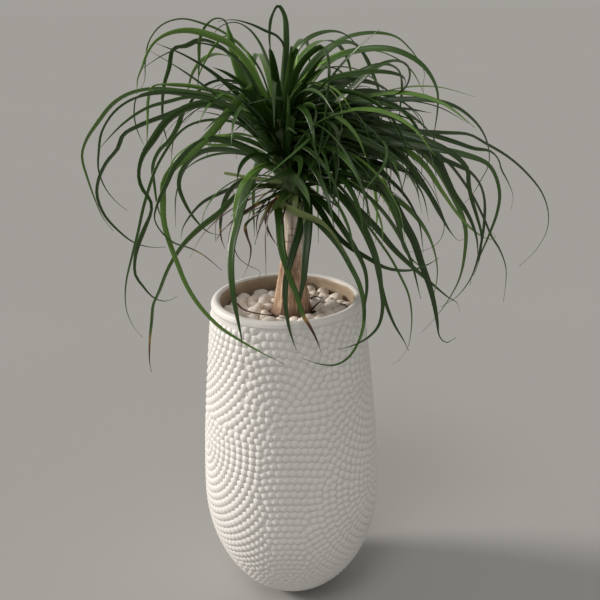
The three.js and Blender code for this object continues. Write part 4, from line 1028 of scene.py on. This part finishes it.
def youngBark():
    # corky bark of a young stem: peach tan ridges, browner furrows, fine streaks up and down, dark cracks
    # across, paler towards the top, partly paler bark and partly painted light where the top of the trunk is
    # lit, and darker at the foot just above the pebbles, as painted shade
    material, tree = newMaterial("corkyBark", Roughness=0.85, IOR=1.45)
    place = placeOf(tree)
    streak = noiseOf(tree, stretched(tree, place, (1.0, 1.0, 0.12)), 420.0, 6.0, 0.65)
    shade = rampOf(tree, streak, [(0.3, "#8f6f5b"), (0.45, "#bd9a82"), (0.56, "#dcbda2"), (0.7, "#f0dac2")])
    height = addNode(tree, "ShaderNodeSeparateXYZ", {"Vector": place}).outputs["Z"]
    # near white at the top: partly paler bark, partly painted light on the lit top of the trunk
    for share, colour in ((shareOf(tree, height, 0.37, 0.4, 0.9), "#fbeee0"),
                          (shareOf(tree, markOf(tree, "furrow"), 0.35, 0.95, 0.7), "#7a5a45"),
                          # dark brown at the foot, painted shade where the trunk meets the pebbles
                          (shareOf(tree, height, 0.329, 0.319, 0.7), "#4b3123"),
                          (markOf(tree, "crack"), "#2c1a12")):
        shade = mixed(tree, share, shade, colour)
    useColour(tree, shade)
    useBump(tree, streak, 0.7, 0.001)
    return material


def pottingEarth():
    # damp potting mix: dark brown fibres and crumbs
    material, tree = newMaterial("pottingMix", Roughness=0.95, IOR=1.4)
    grain = noiseOf(tree, placeOf(tree), 520.0, 8.0, 0.7)
    useColour(tree, rampOf(tree, grain, [(0.35, "#1c120c"), (0.55, "#3d2a1e"), (0.7, "#6b4a35")]))
    useBump(tree, grain, 0.8, 0.0015)
    return material


def driedLeaf():
    # dead leaf fibre: dull dark brown, lighter where it has split
    material, tree = newMaterial("driedLeafFibre", Roughness=0.8, IOR=1.4)
    grain = noiseOf(tree, placeOf(tree), 300.0, 5.0)
    useColour(tree, rampOf(tree, grain, [(0.35, "#231711"), (0.6, "#4a3023"), (0.75, "#7d573c")]))
    return material


def waxyLeaf():
    # a smooth leathery leaf under thin wax: green with fine lengthwise veins, whose lighter stripes are
    # partly painted highlight streaks, paler at its base, a soft grey gloss where it turns to the light, and
    # yellow to brown where it has dried
    material, tree = newMaterial("waxyLeafBlade", Roughness=0.34, IOR=1.5)
    mark = {key: markOf(tree, key) for key in ("tone", "along", "across", "dry", "pale")}
    shade = rampOf(tree, mark["tone"], [(0, "#081405"), (0.35, "#152b0d"), (0.72, "#33551e"), (1, "#7aa349")])
    row = addNode(tree, "ShaderNodeCombineXYZ", {"X": mark["across"], "Y": mark["along"], "Z": mark["tone"]})
    veinsAndSheen = noiseOf(tree, stretched(tree, row.outputs["Vector"], (7.0, 1.2, 40.0)), 1.0, 4.0, 0.6)
    # lighter lengthwise stripes: partly veins, partly painted highlight streaks
    for share, colour in ((shareOf(tree, veinsAndSheen, 0.38, 0.7, 0.45), "#5d8a30"),
                          (shareOf(tree, mark["along"], 0.14, 0.0, 0.4), "#7d9648"),
                          (mark["pale"], "#a9b878")):
        shade = mixed(tree, share, shade, colour)
    yellow = rampOf(tree, mark["dry"], [(0, "#7f8a3a"), (0.35, "#a98a4c"), (0.7, "#6b4729"), (1, "#472c1a")])
    useColour(tree, mixed(tree, shareOf(tree, mark["dry"], 0.0, 0.4, 1.0), shade, yellow))
    useBump(tree, veinsAndSheen, 0.25, 0.0004)
    return material


def paleFloor():
    # plain painted board: dull, so that nothing shines in it
    material, tree = newMaterial("plainFloor", Roughness=0.95, Specular_IOR_Level=0.0)
    useColour(tree, mixed(tree, noiseOf(tree, placeOf(tree), 2.0, 2.0), "#b0b0b0", "#adadad"))
    return material


# Building

bark, earth, leafSkin = youngBark(), pottingEarth(), waxyLeaf()
buildPlanter(satinCeramic())
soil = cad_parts["soil"]
soil.data.materials.clear()
soil.data.materials.append(earth)
buildLooseMix(earth)
buildPebbles(tumbledStone())
buildScraps(driedLeaf())
buildTrunk(bark)
buildCrown(leafSkin)

draw = drawsFrom(blades["seed"])
toneDraw = drawsFrom(blades["tones"])
ruled = drawnLeaves(draw) + thicketLeaves(draw)
spines = [seenSpine(leaf) for leaf in seenLeaves] + [arcSpine(leaf) for leaf in ruled]
# the outer leaves draw from the lighter tones, as painted light on the outside of the head
buildBlades("leaves", seenLeaves + ruled, spines, leafSkin, toneDraw, (0.2, 1), "leaf_head")
for kind, rule in finer.items():
    more = finerLeaves(rule)
    buildBlades(kind + "Leaves", more, [arcSpine(leaf) for leaf in more], leafSkin, toneDraw,
                rule.get("tones", (0, 0.8)))
buildBlades("neckLeaf", [neckLeaf], [seenSpine(neckLeaf)], leafSkin, toneDraw, (0, 0.8))
print("leaves made")


# Floor, light and camera

studio = dict(
    floorHalf=60.0,
    # where the photograph was taken from
    eye=(0.0127, -0.7446, 0.6019), pitch=20.3, roll=1.2, lens=48, sensor=36,
    # two wide soft lights: where each comes from, its width in degrees and its strength
    key=dict(place=(-5.0, 1.0, 2.3), width=15, strength=3.0, colour="#fff8ee"),
    fill=dict(place=(-0.8, -2.2, 5.0), width=22, strength=0.5, colour="#fffdfa"),
    lightsAim=(0, 0, 0.35),
    sky="#efeae3", skyStrength=0.42,
)


def addFloor():
    h = studio["floorHalf"]
    mesh = bpy.data.meshes.new("floor")
    mesh.from_pydata([(-h, -h, 0), (h, -h, 0), (h, h, 0), (-h, h, 0)], [], [(0, 1, 2, 3)])
    mesh.materials.append(paleFloor())
    floor = addToScene("floor", mesh)


def addLight(name):
    values = studio[name]
    lamp = bpy.data.lights.new(name, "SUN")
    lamp.angle = np.radians(values["width"])
    lamp.energy = values["strength"]
    lamp.color = toLinear(values["colour"])[:3]
    aim = Vector(studio["lightsAim"]) - Vector(values["place"])
    turn = aim.to_track_quat("-Z", "Y").to_matrix().to_4x4()
    addToScene(name, lamp, Matrix.Translation(values["place"]) @ turn)


def addCamera():
    pitch, roll = np.radians(studio["pitch"]), np.radians(studio["roll"])
    forward = np.array([0, np.cos(pitch), -np.sin(pitch)])
    level = np.array([1.0, 0, 0])
    right = np.cos(roll) * level - np.sin(roll) * np.cross(level, forward)
    up = np.cross(right, forward)
    lens = bpy.data.cameras.new("view")
    lens.lens, lens.sensor_width = studio["lens"], studio["sensor"]
    turn = Matrix(np.stack([right, up, -forward], -1).tolist())
    bpy.context.scene.camera = addToScene("view", lens, Matrix.Translation(studio["eye"]) @ turn.to_4x4())


addFloor()
for name in ("key", "fill"):
    addLight(name)
addCamera()
world = bpy.data.worlds.new("sky")
bpy.context.scene.world = world
bpy.context.scene.view_settings.view_transform = "Standard"
world.use_nodes = True
world.node_tree.nodes["Background"].inputs["Color"].default_value = toLinear(studio["sky"])
world.node_tree.nodes["Background"].inputs["Strength"].default_value = studio["skyStrength"]
print("studio ready")
